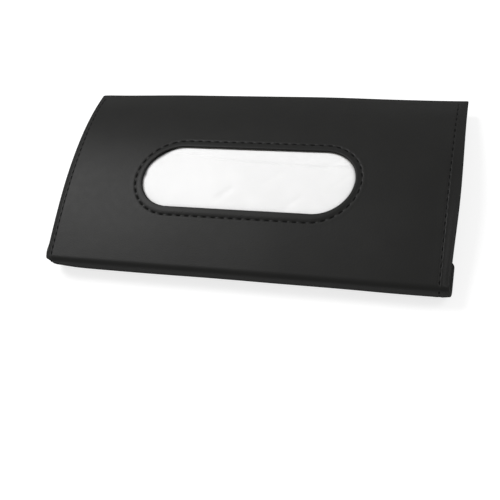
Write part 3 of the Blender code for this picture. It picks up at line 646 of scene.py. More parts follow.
def skin_relief(x, v):
    """The height of the front leather's outer face over the CAD part's."""
    half = side_half(x, v)
    seam = seam_reach(x)
    height = leather_waves(x, v, FRONT_SEED)
    straight = np.where(x < 0, LEFT_STRAIGHT, RIGHT_STRAIGHT)
    share = np.clip((np.abs(x) - seam) / (half - seam), 0, 1)
    fade = 1 - np.clip((v - FRONT.front_end) / EDGE_FADE + 1, 0, 1) ** 2
    fade *= np.where(x < 0, 1, eased(v, FULL_END, [FULL_END_DROP, 1]))
    height -= EDGE_DROP * (straight * share + (1 - straight) * share ** 2) * fade
    height += bend_level(v)
    sewn = within(v, FLAP_START + FLAP_SEAM, FRONT.front_end - SEAM_TO_FOLD)
    pitch = np.where(x < 0, LEFT_PITCH, RIGHT_PITCH)
    height += seam_relief(np.abs(x) - seam, v - pitch / 2, pitch) * sewn
    sewn = within(x, -seam, seam)
    height += seam_relief(v - FLAP_START - FLAP_SEAM, x, CROSS_PITCH) * sewn
    height += seam_relief(v - FRONT.end + WRAP_SEAM, x, CROSS_PITCH) * sewn
    foot, out, outside = from_long_round(x, v, (SEAM_X, SEAM_V), SEAM_SPINE, SEAM_BEND)
    pitch = SEAM_AROUND / WINDOW_STITCHES
    height += seam_relief(outside, along_window_seam(foot, out) - pitch / 2, pitch)
    puff = eased(outside, [-RIM_SHOULDER, 0], [1, 0])
    puff *= eased(from_window(x, v)[2], [0, RIM_CREST], [RIM_EDGE_SHARE, 1])
    return height + RIM_PUFF * puff


def bend_level(v):
    """How the leather's bends differ from the CAD part's: eased, and the roll has a shoulder."""
    return roll_shoulder(v) + softened(v, FRONT.front_end, FOLD_RADIUS, FOLD_EASE)


def seat_level(x, v):
    """The level of the front leather under a stitch."""
    waves = leather_waves(np.array([x]), np.array([v]), FRONT_SEED)
    return float(bend_level(v) + waves[0])


def skin_edge(v):
    """The leather's whole thickness, the turned strip's upper side and its width, at a side."""
    flap = (LINED_DEPTH, LINING_DEPTH, TURN_IN)
    bend = (HINGE_DEPTH, HINGE_STRIP, SLOT_INSET + SLOT_LIP)
    front = (TURNED_DEPTH, LINING_DEPTH, TURN_IN)
    wrap = (LEATHER, LEATHER, SLOT_INSET + SLOT_LIP)
    marks = [
        (FLAP_START, *flap), (-HINGE_FULL, *flap), (-HINGE_THIN, *bend), (HINGE_THIN, *bend),
        (HINGE_FULL, *front), (FRONT.front_end - FOLD_FULL, *front),
        (FRONT.front_end + FOLD_THIN, *wrap), (FRONT.end, *wrap),
    ]
    places, *columns = np.array(marks).T
    return [np.interp(v, places, values) for values in columns]


def rounding(height, thickness):
    """Steps round an edge, from a face at a height to the underside: share of inset, depth."""
    turns = np.linspace(0, math.pi, EDGE_STEPS + 1)[1:]
    return [
        (1 - math.sin(turn), (thickness + height) * (1 - math.cos(turn)) / 2 - height)
        for turn in turns
    ]


def close_outline(shell, outline, half, low, high, edge, end_round):
    """Rounds a sheet's edges, turns them in, and gives the last loop, under the leather.

    edge holds the thickness, the turned strip's upper side and its width.
    """
    x, v, height = np.array([shell.points[n] for n in outline]).T
    thickness, strip, width = edge
    middle, reach = (low + high) / 2, (high - low) / 2
    steps = [
        (EDGE_ROUND * share, end_round * share, depth)
        for share, depth in rounding(height, thickness)
    ]
    turned = [(width, thickness), (width, strip), (SLOT_INSET, strip), (SLOT_INSET, LEATHER)]
    for number, (inset, depth) in enumerate(turned):
        steps.append((inset, end_round + END_INSET * (1 + number / 2), depth))
    wide, long = x / (half - EDGE_ROUND), (v - middle) / (reach - end_round)
    return shell.stack(outline, [
        (wide * (half - side), middle + long * (reach - end), -depth) for side, end, depth in steps
    ], outwards=True)


def close_rim(shell, rim, foot, out):
    """Rolls the window's rim, turns it in, and gives the last loop, under the leather.

    The rim is thin at its edge and thickens outwards, where the board begins.
    """
    height = np.array([shell.points[n][2] for n in rim])
    steps = [(RIM_ROUND * share, depth) for share, depth in rounding(height, RIM_THICKNESS)]
    return shell.stack(rim, [
        (*(foot + out * (WINDOW_WIDTH / 2 + outside)).T, -depth)
        for outside, depth in steps + RIM_UNDERSIDE
    ])


def add_inside(shell, rows, columns, hole, outline, rim, low, high):
    """The leather's inner face, as a coarser sheet that joins the two last loops."""
    coarse = [value // COARSE for value in hole] if hole else None
    places, faces, outer, inner = grid(rows[::COARSE], columns[::COARSE], coarse)
    widest = columns[-1]
    middle, reach = (low + high) / 2, (high - low) / 2
    wide = places[:, 0] * (widest - SLOT_INSET - INNER_INSET) / widest
    long = middle + (places[:, 1] - middle) * (reach - INNER_END_INSET) / reach
    nodes = shell.add(wide, long, -LEATHER)
    shell.cover(nodes, [face[::-1] for face in faces])
    shell.bridge([nodes[n] for n in outer], outline)
    if rim:
        shell.bridge(rim, [nodes[n] for n in inner])


def front_skin():
    """The whole outer leather, laid flat: flap, roll, front with its window, fold and wrap."""
    edge = FRONT_HALF - EDGE_ROUND
    columns, marks = spaced(
        -edge, (-SEAM_LEFT - SEAM_ZONE, 4), (SEAM_ZONE - SEAM_LEFT, 8),
        (WINDOW_X - PATCH_LENGTH / 2, 16), (WINDOW_X + PATCH_LENGTH / 2, 148),
        (SEAM_RIGHT - SEAM_ZONE, 20), (SEAM_RIGHT + SEAM_ZONE, 8), (edge, 4),
    )
    wrap_seam = FRONT.end - WRAP_SEAM
    rows, row_marks = spaced(
        FLAP_START + EDGE_ROUND, (FLAP_START + FLAP_SEAM + FLAP_ZONE, 8), (-ROLL_LENGTH, 8),
        (0, 24), (WINDOW_V - PATCH_WIDTH / 2, 20), (WINDOW_V + PATCH_WIDTH / 2, 64),
        (FRONT.front_end, 36), (FRONT.fold_end, 16), (wrap_seam - WRAP_ZONE, 8),
        (wrap_seam + WRAP_ZONE, 8), (FRONT.end - WRAP_EDGE_ROUND, 4),
    )
    hole = (row_marks[4], row_marks[5], marks[3], marks[4])
    places, faces, outline, rim = grid(rows, columns, hole)

    x, v = places.T
    free = seam_reach(x) + SEAM_ZONE
    over = np.clip((np.abs(x) - free) / (edge - free), 0, 1)
    x = x + np.sign(x) * over * (side_half(x, v) - FRONT_HALF)
    shell = Shell()
    nodes = shell.add(x, v, skin_relief(x, v))
    shell.cover(nodes, faces)

    foot, out, outside = from_window(*places[rim].T)
    rings = spaced(OUTER_RING, *RINGS)[0]
    shares = np.arange(1, RINGS_TO_PATCH) / RINGS_TO_PATCH
    loops = []
    for reach in [*(outside + (rings[0] - outside) * share for share in shares), *rings]:
        ring = foot + out * np.reshape(WINDOW_WIDTH / 2 + reach, (-1, 1))
        loops.append((*ring.T, skin_relief(*ring.T)))
    last = shell.stack([nodes[n] for n in rim], loops)

    x, v = places[outline].T
    under_rim = close_rim(shell, last, foot, out)
    under_outline = close_outline(
        shell, [nodes[n] for n in outline], side_half(x, v), FLAP_START, FRONT.end,
        skin_edge(v), np.where(v < 0, EDGE_ROUND, WRAP_EDGE_ROUND),
    )
    add_inside(shell, rows, columns, hole, under_outline, under_rim, FLAP_START, FRONT.end)
    points = np.array(shell.points)
    points[:, 0] += window_lean(points[:, 0], points[:, 1])
    shell.points = points.tolist()
    return shell


def put(name, data, place=(0, 0, 0), turn=(0, 0, 0)):
    """Puts a mesh, a lamp or a camera in the scene."""
    thing = bpy.data.objects.new(name, data)
    thing.location = place
    thing.rotation_euler = turn
    bpy.context.scene.collection.objects.link(thing)
    return thing


def piece_from(name, places, faces):
    """An object from places and faces, smooth."""
    mesh = bpy.data.meshes.new(name)
    mesh.from_pydata([tuple(place) for place in places], [], faces)
    mesh.shade_smooth()
    mesh.set_sharp_from_angle(angle=math.radians(SHARP_ANGLE))
    return put(name, mesh)


def shell_piece(name, shell, route):
    """An object from a shell that is laid along a route."""
    places = route.lay(shell.points)
    return piece_from(name, soft_corners(places) if route is FRONT else places, shell.faces)


def soft_corners(places):
    """Moves places on the front leather as its soft corners are pinched and its fold sags."""
    places = np.array(places, float)
    for centre, shift, reach in SOFT_SPOTS:
        away = np.linalg.norm((places - centre) / reach, axis=1)
        places += np.exp(-away ** 2)[:, None] * np.array(shift)
    return places


def ring_faces(rings, wide, closed):
    """Faces between rings of places. Closed rings are joined all round and filled at both ends."""
    faces = []
    for ring in range(rings - 1):
        for step in range(wide if closed else wide - 1):
            a, b = ring * wide + step, ring * wide + (step + 1) % wide
            faces.append([a, a + wide, b + wide, b])
    if closed:
        faces += [list(range(wide)), list(range(rings * wide - 1, (rings - 1) * wide - 1, -1))]
    return faces


def tube_places(places, ups, radii, sides):
    """The rings of a tube through places, with a height direction and a radius at each."""
    ahead = np.gradient(places, axis=0)
    ahead /= np.linalg.norm(ahead, axis=1)[:, None]
    beside = np.cross(ahead, ups)
    beside /= np.linalg.norm(beside, axis=1)[:, None]
    ups = np.cross(beside, ahead)
    turns = np.linspace(0, 2 * math.pi, sides, endpoint=False)[:, None]
    around = np.cos(turns) * beside[:, None] + np.sin(turns) * ups[:, None]
    return (places[:, None] + around * radii[:, None, None]).reshape(-1, 3)


# Materials


def set_sockets(node, **values):
    """Sets a node's inputs, each named with _ for a space."""
    for label, value in values.items():
        node.inputs[label.replace("_", " ")].default_value = value


def new_material(name, colour, roughness, **sockets):
    """A Principled material and its shader."""
    finish = bpy.data.materials.new(name)
    finish.use_nodes = True
    shader = finish.node_tree.nodes["Principled BSDF"]
    set_sockets(shader, Base_Color=(*colour, 1), Roughness=roughness, **sockets)
    return finish, shader


def texture(shader, kind, scale, stretch=(1, 1, 1), **sockets):
    """A texture node on the object's own coordinates, with features about 1/scale metres."""
    nodes, links = shader.id_data.nodes, shader.id_data.links
    place = nodes.new("ShaderNodeTexCoord")
    mapping = nodes.new("ShaderNodeMapping")
    set_sockets(mapping, Scale=stretch)
    links.new(place.outputs["Object"], mapping.inputs["Vector"])
    node = nodes.new("ShaderNodeTex" + kind)
    set_sockets(node, Scale=scale, **sockets)
    links.new(mapping.outputs["Vector"], node.inputs["Vector"])
    return node


def mottle(shader, scale, detail=2, stretch=(1, 1, 1)):
    """The output of a noise texture."""
    return texture(shader, "Noise", scale, stretch, Detail=detail).outputs["Fac"]


def threads(shader, scale, direction, distortion):
    """The output of a wave texture whose bands lie across a direction."""
    node = texture(shader, "Wave", scale, Distortion=distortion)
    node.bands_direction = direction
    return node.outputs["Fac"]


def vary(shader, socket, output, low, high, places=(0.3, 0.7)):
    """Lets an output drive one of the shader's sockets, through a ramp between two colours."""
    tree = shader.id_data
    node = tree.nodes.new("ShaderNodeValToRGB")
    for element, place, colour in zip(node.color_ramp.elements, places, (low, high)):
        element.position = place
        element.color = (*colour, 1)
    tree.links.new(output, node.inputs["Fac"])
    tree.links.new(node.outputs["Color"], shader.inputs[socket])


def grey(value):
    return (value, value, value)


def bump(shader, *layers):
    """Bumps from outputs, each as (output, distance, strength), stacked on one another."""
    tree = shader.id_data
    normal = shader.inputs["Normal"]
    for output, distance, strength in reversed(layers):
        node = tree.nodes.new("ShaderNodeBump")
        set_sockets(node, Distance=distance, Strength=strength)
        tree.links.new(output, node.inputs["Height"])
        tree.links.new(node.outputs["Normal"], normal)
        normal = node.inputs["Normal"]


def leather_material():
    """Black coated leather: fine pebbled grain, soft mottling in colour and gloss."""
    finish, shader = new_material("black_leather", (0.0075, 0.0075, 0.007), 0.42)
    facing = shader.id_data.nodes.new("ShaderNodeLayerWeight").outputs["Facing"]
    vary(shader, "Specular IOR Level", facing, grey(0.12), grey(0.006), (0.28, 0.70))
    low, high = (0.0066, 0.0066, 0.0062), (0.0082, 0.0082, 0.0077)
    vary(shader, "Base Color", mottle(shader, 55, 3), low, high)
    vary(shader, "Roughness", mottle(shader, 240, 4), grey(0.41), grey(0.44))
    pebbles = texture(shader, "Voronoi", 1300).outputs["Distance"]
    bump(shader, (pebbles, 0.00012, 0.25), (mottle(shader, 2600), 0.00006, 0.3))
    return finish


def lining_material():
    """A plain black weave: two sets of threads that cross."""
    finish, shader = new_material("lining_cloth", (0.035, 0.035, 0.038), 0.9, Sheen_Weight=0.25)
    low, high = (0.028, 0.028, 0.0304), (0.042, 0.042, 0.0456)
    vary(shader, "Base Color", mottle(shader, 90, 3), low, high)
    bump(shader, *[(threads(shader, 800, direction, 0.4), 0.0001, 0.5) for direction in "XY"])
    return finish


def thread_material():
    """Twisted black thread."""
    finish, shader = new_material("black_thread", grey(0.003), 0.6, Specular_IOR_Level=0.06)
    vary(shader, "Base Color", mottle(shader, 900, 3), grey(0.002), grey(0.005))
    bump(shader, (threads(shader, 700, "DIAGONAL", 0.3), 0.0001, 0.5))
    return finish


def elastic_material():
    """Ribbed elastic: fine threads across the ribs."""
    finish, shader = new_material("black_elastic", (0.02, 0.02, 0.022), 0.85, Sheen_Weight=0.2)
    low, high = (0.010, 0.010, 0.011), (0.018, 0.018, 0.020)
    vary(shader, "Base Color", mottle(shader, 300, 3), low, high)
    weft = threads(shader, 420, "Y", 0.6)
    bump(shader, (weft, 0.0001, 0.5), (mottle(shader, 1800), 0.00005, 0.5))
    return finish


def board_material():
    """Grey pulp board with darker fibres."""
    finish, shader = new_material("grey_board", (0.30, 0.29, 0.27), 0.85)
    fibres = mottle(shader, 700, 5, (1, 3, 1))
    vary(shader, "Base Color", fibres, (0.22, 0.21, 0.19), (0.34, 0.33, 0.31))
    bump(shader, (fibres, 0.0001, 0.3))
    return finish


def metal_material(name, colour, roughness):
    """Metal with a faint rolled grain."""
    finish, shader = new_material(name, colour, roughness, Metallic=1)
    grain = mottle(shader, 900, 3, (1, 12, 1))
    vary(shader, "Roughness", grain, grey(roughness * 0.8), grey(roughness * 1.3))
    bump(shader, (grain, 0.00003, 0.2))
    return finish


def film_material():
    """Thin clear wrapping film."""
    finish, shader = new_material(
        "clear_film", (0.95, 0.949, 0.948), 0.22, Alpha=0.22, Specular_IOR_Level=0.3
    )
    vary(shader, "Roughness", mottle(shader, 160), grey(0.18), grey(0.28))
    bump(shader, (mottle(shader, 220, 2, (1, 2.2, 1)), 0.0005, 0.35))
    return finish


def tissue_material():
    """Soft white tissue with a fine crepe."""
    finish, shader = new_material("white_tissue", (0.90, 0.899, 0.898), 0.95, Sheen_Weight=0.1)
    low, high = (0.88, 0.879, 0.878), (0.92, 0.919, 0.918)
    vary(shader, "Base Color", mottle(shader, 70, 3), low, high)
    bump(shader, (mottle(shader, 1100, 3, (1, 3.5, 1)), 0.0001, 0.4))
    return finish


FINISHES = {
    "black_leather": leather_material(),
    "lining_cloth": lining_material(),
    "sewing_thread": thread_material(),
    "elastic_band": elastic_material(),
    "clear_film": film_material(),
    "white_tissue": tissue_material(),
    "stiffener_board": board_material(),
    "strike_steel": metal_material("strike_steel", (0.62, 0.62, 0.64), 0.35),
    "magnet_nickel": metal_material("magnet_nickel", (0.72, 0.70, 0.67), 0.25),
}


# Pieces


def settle(piece, slot, *nodes, bends=False):
    """Gives a piece its finish and puts it in the place of CAD nodes.

    It rides the case, or, when bends is set, keeps its place with its transform baked in.
    """
    piece.data.materials.append(FINISHES[slot])
    if bends:
        hinge = FRONT.lay([(0, 0, 0)])[0]
        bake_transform(piece)
    else:
        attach(piece, "case")
    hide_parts(*nodes)


def sew(node, seats, route=FRONT, bends=False):
    """A node's stitches at flat seats (x, v, dx, dv): short threads that dip at their ends."""
    points = []
    faces = []
    for x, v, dx, dv in seats:
        level = seat_level(x, v) if route is FRONT else TAB_STITCH_LEVEL
        run = THREAD_SHARES * STITCH_LENGTH / 2
        height = level - STITCH_SINK - STITCH_DIP * np.abs(THREAD_SHARES) ** STITCH_DIP_POWER
        flat = np.column_stack([x + dx * run, v + dv * run, height])
        places = route.lay(flat)
        ups = route.lay(flat + [0, 0, 1]) - places
        if route is FRONT:
            places = soft_corners(places)
        for face in ring_faces(len(places), THREAD_SIDES, True):
            faces.append([len(points) + n for n in face])
        radii = STITCH_RADIUS * THREAD_RADIUS_SHARES
        points += tube_places(places, ups, radii, THREAD_SIDES).tolist()
    settle(piece_from(node + "_sewn", points, faces), "sewing_thread", node, bends=bends)


def front_leather():
    """The leather from the flap over the front to the wrap, laid round the roll where the flap is
    hinged.
    """
    skin = shell_piece("case_leather", front_skin(), FRONT)
    settle(skin, "black_leather", "front_leather", "flap_leather", bends=True)


def case_stitches():
    """The stitches round the window, down both sides and across the wrap."""
    shares = (np.arange(WINDOW_STITCHES) + 0.5) / WINDOW_STITCHES
    rows = [("window_stitches", [window_seam_place(SEAM_AROUND * share) for share in shares])]
    for side, x, pitch in SIDE_SEAMS:
        places = side_stitches(STITCH_ROOM, FRONT.front_end - SEAM_ROOM, pitch)
        rows.append((side + "_seam_stitches", [(x, v, 0, 1) for v in places]))
    rows.append(("back_top_stitches", cross_stitches(FRONT.end - WRAP_SEAM)))
    for node, seats in rows:
        sew(node, seats)


def flap_stitches():
    """The stitches down both sides of the flap and across its free edge."""
    base = FLAP_START + FLAP_SEAM
    seats = cross_stitches(base)
    for _, x, pitch in SIDE_SEAMS:
        places = side_stitches(base + STITCH_ROOM, -STITCH_ROOM, pitch)
        seats += [(x, v, 0, 1) for v in places]
    sew("flap_stitches", seats, bends=True)


def back_leather():
    """The back panel: leather turned in round its edges, with a slot for the board."""
    edge = BACK_HALF - EDGE_ROUND
    columns = np.linspace(-edge, edge, 97)
    rows = np.linspace(EDGE_ROUND, BACK_LENGTH - EDGE_ROUND, 49)
    places, faces, outline, _ = grid(rows, columns)
    shell = Shell()
    shell.cover(shell.add(*places.T, leather_waves(*places.T, BACK_SEED)), faces)
    sizes = (TURNED_DEPTH, LINING_DEPTH, TURN_IN)
    last = close_outline(shell, outline, BACK_HALF, 0, BACK_LENGTH, sizes, EDGE_ROUND)
    add_inside(shell, rows, columns, None, last, None, 0, BACK_LENGTH)
    settle(shell_piece("back_panel", shell, back_route()), "black_leather", "back_leather")


def sheet_piece(name, rows, columns, height, thickness, route=FRONT, hole=None):
    """A thin sheet on a grid, at a height over the route, with its thickness above that."""
    places, faces, _, _ = grid(rows, columns, hole)
    x, v = places.T
    under = height(x, v) if callable(height) else np.full(len(x), height)
    piece = piece_from(name, route.lay(np.column_stack([x, v, under])), faces)
    solidify(piece, thickness, 1)
    return piece


def solidify(piece, thickness, offset):
    """Gives a sheet its thickness, as plain mesh."""
    change = piece.modifiers.new("thickness", "SOLIDIFY")
    change.thickness = thickness
    change.offset = offset
    bpy.context.view_layer.update()
    seen = piece.evaluated_get(bpy.context.evaluated_depsgraph_get())
    mesh = bpy.data.meshes.new_from_object(seen)
    piece.modifiers.clear()
    piece.data = mesh


def linings():
    """The cloth inside the front and the flap, which are one strip each, and inside the back."""
    def lining(node, rows, columns, length, route=FRONT, hole=None, **area):
        cloth = sheet_piece(node + "_cloth", rows, columns, -LINED_DEPTH, LINING, route, hole)
        settle(cloth, "lining_cloth", node, bends=node == "flap_lining")

    half = FRONT_HALF - TURN_IN - LAYER_GAP
    reach = RIM_TURN_IN + LAYER_GAP + WINDOW_WIDTH / 2
    left, right = WINDOW_X - WINDOW_SPINE - reach, WINDOW_X + WINDOW_SPINE + reach
    columns, marks = spaced(-half, (left, 12), (right, 72), (half, 14))
    rows, row_marks = spaced(
        LINING_FROM_HINGE, (WINDOW_V - reach, 10), (WINDOW_V + reach, 28),
        (FRONT.front_end - LINING_TO_FOLD, 18),
    )
    length = rows[-1] - rows[0]
    hole = (row_marks[1], row_marks[2], marks[1], marks[2])
    area = 2 * half * length - (right - left) * 2 * reach
    lining("front_lining", rows, columns, length, hole=hole, area=area)

    half += FLAP_LINING_WIDER
    columns = np.linspace(-half, half, 61)
    rows, _ = spaced(FLAP_START + FLAP_LINING_INSET, (-ROLL_LENGTH, 8), (-FLAP_LINING_ROOM, 22))
    inside_bend = 1 - (LINED_DEPTH - LINING / 2) / ROLL_RADIUS
    length = -ROLL_LENGTH - rows[0] + (rows[-1] + ROLL_LENGTH) * inside_bend
    lining("flap_lining", rows, columns, length)

    inset = TURN_IN + LAYER_GAP
    columns = np.linspace(inset - BACK_HALF, BACK_HALF - inset, 61)
    rows = np.linspace(inset, BACK_LENGTH - inset, 41)
    lining("back_lining", rows, columns, rows[-1] - rows[0], back_route())


def gussets():
    """The cloth that closes the sides, folded inwards between the two panels."""
    start, end = GUSSET_FROM_HINGE, FRONT.front_end - GUSSET_TO_FOLD
    steps = np.linspace(start, end, 90)
    profile = GUSSET_FOLD_SHARES + [(out, 1 - up) for out, up in GUSSET_FOLD_SHARES[-2::-1]]
    knots = np.arange(len(profile))
    shares = np.linspace(0, knots[-1], 4 * knots[-1] + 1)
    outs, ups = (np.interp(shares, knots, values) for values in zip(*profile))
    y, z = FRONT.under(steps, INSIDE_DEPTH + GUSSET_CLOTH / 2).T[:, :, None]
    floor = INSIDE_FLOOR + GUSSET_CLOTH / 2
    wide = GUSSET_OUTER - GUSSET_INNER
    faces = ring_faces(len(steps), len(outs), False)
    for side, name in ((-1, "left_gusset"), (1, "right_gusset")):
        ripple = sum(
            size * np.sin(steps * pace + late * side) for size, pace, late in GUSSET_RIPPLES
        )
        x = GUSSET_INNER + (wide - GUSSET_CLOTH) * outs + np.outer(ripple, 1 - abs(2 * ups - 1))
        places = np.stack([side * x, y + 0 * ups, floor + (z - floor) * ups], axis=-1)
        piece = piece_from(name + "_cloth", places.reshape(-1, 3), faces)
        solidify(piece, GUSSET_SHEET, 0)
        settle(piece, "lining_cloth", name)


def straps():
    """The elastic straps, ribbed along their length, and the box seams on their tabs."""
    route = strap_route()
    half = STRAP_WIDTH / 2
    columns = np.linspace(-half, half, STRAP_RIBS * 4 + 1)
    rows = np.linspace(0, route.end, 97)
    places, faces, outline, _ = grid(rows, columns)
    x, v = places.T
    ribs = STRAP_RIB_RISE * (1 - np.cos(2 * math.pi * STRAP_RIBS * x / STRAP_WIDTH))
    edge = np.clip((np.abs(x) - half + STRAP_EDGE) / STRAP_EDGE, 0, 1)
    inset = ribs + STRAP_EDGE_DROP * (1 - np.sqrt(1 - edge ** 2))
    low, high = STRAP_SEAM_MARGIN, STRAP_TAB - STRAP_SEAM_MARGIN
    reach = half - STRAP_SEAM_MARGIN
    across = reach * ((2 * np.arange(STRAP_STITCHES) + 1) / STRAP_STITCHES - 1)
    for name, x0 in (("left", -STRAP_SPREAD), ("right", STRAP_SPREAD)):
        shell = Shell()
        outer = shell.add(x + x0, v, -inset)
        inner = shell.add(x + x0, v, inset - STRAP_THICKNESS)
        shell.cover(outer, faces)
        shell.cover(inner, [face[::-1] for face in faces])
        shell.bridge([inner[n] for n in outline], [outer[n] for n in outline])
        band = shell_piece(f"strap_{name}_band", shell, route)
        settle(band, "elastic_band", f"strap_{name}")
        for end, base in (("top", 0), ("bottom", route.end - STRAP_TAB)):
            seats = [(x0 + side, base + row, 1, 0) for row in (low, high) for side in across]
            seats += [(x0 + side, base + (low + high) / 2, 0, 1) for side in (-reach, reach)]
            sew(f"strap_{end}_stitches_{name}", seats, route)


def slit_place(x):
    """Where the slit runs: it sags towards the right of the window."""
    return np.interp(x, *zip(*SLIT_LINE))


def window_bulge(x, v):
    """How far the pack swells up into the window: less in its dips, and with creases."""
    outside = from_window(x - window_lean(x, v), v)[2]
    swell = np.interp(-outside, *zip(*BULGE))
    for x0, v0, wide, high, share in PACK_DIPS:
        swell = swell * (1 - share * np.exp(-((x - x0) / wide) ** 2 - ((v - v0) / high) ** 2))
    for start, end, depth, wide in PACK_CREASES:
        run = np.subtract(end, start)
        share = np.clip(((x - start[0]) * run[0] + (v - start[1]) * run[1]) / (run @ run), 0, 1)
        away = np.hypot(x - start[0] - share * run[0], v - start[1] - share * run[1])
        swell = swell - depth * np.exp(-(away / wide) ** 2)
    step = eased(v - slit_place(x), [-SLIT_STEP_HALF, SLIT_STEP_HALF], [0, SLIT_STEP])
    return swell + step * eased(-outside, SLIT_STEP_FADE, [0, 1])


def film_wrinkle(x, v):
    """The height of the film's creases: sharp ridges that run across the pack at a slant."""
    return -sum(
        size * np.abs(cloudy((x + lean * v) / wide, (v - lean * x) / wide / WRINKLE_STRETCH, seed))
        for wide, lean, size, seed in FILM_WRINKLES
    )


def pack_film():
    """The clear wrapping: a soft pillow with a flat seal at each end and a slit on top."""
    start, end = PACK_FROM_HINGE, FRONT.front_end - PACK_TO_FOLD
    columns, _ = spaced(
        -PACK_HALF - SEAL_LENGTH, (-PACK_HALF, 12), (PACK_END - PACK_HALF, 12),
        (PACK_HALF - PACK_END, 236), (PACK_HALF, 12), (PACK_HALF + SEAL_LENGTH, 12),
    )
    slit = slit_place(0)
    below = np.linspace(start, slit - SLIT_GAP / 2, 92)
    steps = np.concatenate([below, np.linspace(slit + SLIT_GAP / 2, end, 56)])
    near_slit = np.exp(-((steps - slit) / SLIT_PULL) ** 2)
    top = FRONT.under(steps, INSIDE_DEPTH)
    (first_y, first_z), (last_y, last_z) = top[0], top[-1]
    swell = PACK_BULGE * np.sin(math.pi * BULGE_SHARES)
    rest = np.concatenate([
        np.column_stack([last_y + swell, last_z + (INSIDE_FLOOR - last_z) * BULGE_SHARES]),
        np.column_stack([np.linspace(last_y, first_y, 30), np.full(30, INSIDE_FLOOR)]),
        np.column_stack([first_y - swell, INSIDE_FLOOR + (first_z - INSIDE_FLOOR) * BULGE_SHARES]),
    ])
    crest = top[:, 1].max()
    middle = np.array([(first_y + last_y) / 2, (INSIDE_FLOOR + crest) / 2])
    points = []
    for x in columns:
        along = steps + (slit_place(x) - slit) * near_slit
        loop = np.concatenate([FRONT.under(along, INSIDE_DEPTH), rest])
        into_end = min(max((abs(x) - PACK_HALF + PACK_END) / PACK_END, 0), 1)
        squeeze = max(1 - into_end ** PACK_TAPER, SEAL_THICKNESS / 2 / (crest - middle[1]))
        loop = middle + (loop - middle) * (1 - END_NARROWING_SHARE * into_end, squeeze)
        rise = film_wrinkle(x, along) + window_bulge(np.full(len(along), x), along)
        loop[:len(along), 1] += rise * (1 - min(1, RISE_FADE * (1 - squeeze)))
        points += [(x, y, z) for y, z in loop]
    around = len(loop)
    faces = ring_faces(len(columns), around, True)
    for column in range(len(columns) - 2, -1, -1):
        if max(np.abs(columns[column:column + 2])) < SLIT_LENGTH / 2:
            del faces[column * around + len(below) - 1]
    settle(piece_from("tissue_wrapping", points, faces), "clear_film", "pack_film")


def tissues():
    """The folded stack as one long zigzag sheet, and the next tissue on top of it."""
    inset = FILM + TISSUE_ROOM
    start, end = PACK_FROM_HINGE + inset, FRONT.front_end - PACK_TO_FOLD - inset
    half = PACK_HALF - inset - TISSUE_SIDE_ROOM
    depth = INSIDE_DEPTH + inset

    def top_height(x, v):
        places = [across * x + along * v for across, along in TISSUE_FOLDS]
        folds = TISSUE_FOLD_RISE * cloudy(*places, TISSUE_SEED)
        into_end = np.clip((np.abs(x) - half + TISSUE_END) / TISSUE_END, 0, 1)
        return folds - depth - TISSUE_DROP - TISSUE_END_DROP * into_end ** 2 + window_bulge(x, v)

    columns = np.linspace(-half, half, 211)
    rows = np.linspace(start, end, 131)
    top = sheet_piece("top_tissue_sheet", rows, columns, top_height, TISSUE_SHEET)
    settle(top, "white_tissue", "top_tissue")

    floor = INSIDE_FLOOR + inset
    steps = np.linspace(start + STACK_ROOM, end - STACK_ROOM, 36)
    path = []
    for layer in range(TISSUE_LAYERS):
        share = (layer + 0.5) / TISSUE_LAYERS
        roof = FRONT.under(steps, depth + TOP_TISSUE + 2 * TISSUE_ROOM)
        path += [(y, floor + (z - floor) * share) for y, z in roof]
        steps = steps[::-1]
    columns = np.linspace(-half, half, 25)
    points = [
        (x, y, z - STACK_END_DROP * (abs(x) / half) ** STACK_END_POWER)
        for x in columns for y, z in path
    ]
    faces = ring_faces(len(columns), len(path), False)
    stack = piece_from("tissue_stack_folds", points, faces)
    solidify(stack, STACK_SHEET, 0)
    settle(stack, "white_tissue", "tissue_stack")


def dress_cad_nodes():
    """Gives the CAD pieces that stay their finishes."""
    for slot, names in (
        ("stiffener_board", ("front_board", "back_board", "flap_board")),
        ("strike_steel", ("strike_plate_left", "strike_plate_right")),
        ("magnet_nickel", ("flap_magnet_left", "flap_magnet_right")),
    ):
        for name in names:
            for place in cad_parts[name].material_slots:
                place.material = FINISHES[slot]


# Surroundings


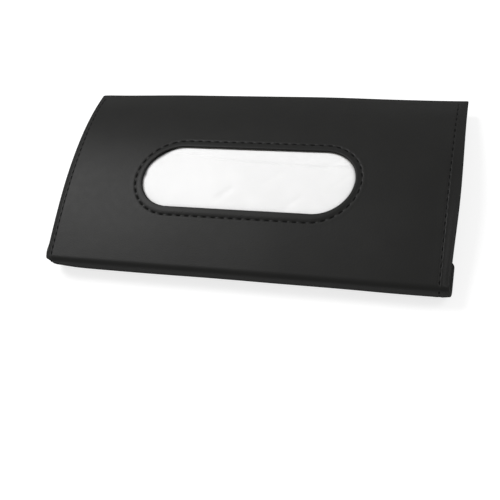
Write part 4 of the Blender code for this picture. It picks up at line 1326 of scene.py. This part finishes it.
def glow(tree, socket, unseen, seen):
    """Sets a glow's strength: camera, glossy and transmission rays see more than the others."""
    path = tree.nodes.new("ShaderNodeLightPath")
    either = path.outputs["Is Camera Ray"]
    for kind in ("Is Glossy Ray", "Is Transmission Ray"):
        node = tree.nodes.new("ShaderNodeMath")
        node.operation = "MAXIMUM"
        tree.links.new(either, node.inputs[0])
        tree.links.new(path.outputs[kind], node.inputs[1])
        either = node.outputs[0]
    mix = tree.nodes.new("ShaderNodeMix")
    mix.data_type = "FLOAT"
    set_sockets(mix, A=unseen, B=seen)
    tree.links.new(either, mix.inputs["Factor"])
    tree.links.new(mix.outputs["Result"], socket)


def white_floor():
    """A white floor that keeps the shadow."""
    finish, shader = new_material(
        "white_floor", grey(FLOOR_COLOUR), 0.9, Specular_IOR_Level=0, Emission_Color=(1, 1, 1, 1)
    )
    glow(shader.id_data, shader.inputs["Emission Strength"], 0, FLOOR_GLOW)
    ways = [(-1, -1), (1, -1), (1, 1), (-1, 1)]
    corners = [(x * FLOOR_HALF, y * FLOOR_HALF, 0) for x, y in ways]
    floor = piece_from("floor", corners, [(0, 1, 2, 3)])
    floor.data.materials.append(finish)


def light():
    """A pale surround, which looks white, and two soft lamps."""
    world = bpy.data.worlds.new("surround")
    bpy.context.scene.world = world
    world.use_nodes = True
    back = world.node_tree.nodes["Background"]
    set_sockets(back, Color=(1, 1, 1, 1))
    glow(world.node_tree, back.inputs["Strength"], SURROUND_LIGHT, 1)
    for name, place, size, energy in LAMPS:
        lamp = bpy.data.lights.new(name, "AREA")
        lamp.shape = "DISK"
        lamp.size = size
        lamp.energy = energy
        put(name, lamp, place, Vector(place).to_track_quat("Z", "Y").to_euler())


def camera():
    """The camera that took the photo."""
    data = bpy.data.cameras.new("photo_camera")
    data.lens = CAMERA_LENS
    data.sensor_width = CAMERA_SENSOR
    data.sensor_fit = "HORIZONTAL"
    data.clip_start = CAMERA_NEAREST
    turn = Euler([math.radians(value) for value in CAMERA_TURN])
    bpy.context.scene.camera = put("photo_camera", data, CAMERA_PLACE, turn)


front_leather()
case_stitches()
flap_stitches()
back_leather()
linings()
gussets()
straps()
pack_film()
tissues()
dress_cad_nodes()
white_floor()
light()
camera()
bpy.context.scene.view_settings.view_transform = "Standard"
bpy.context.view_layer.update()
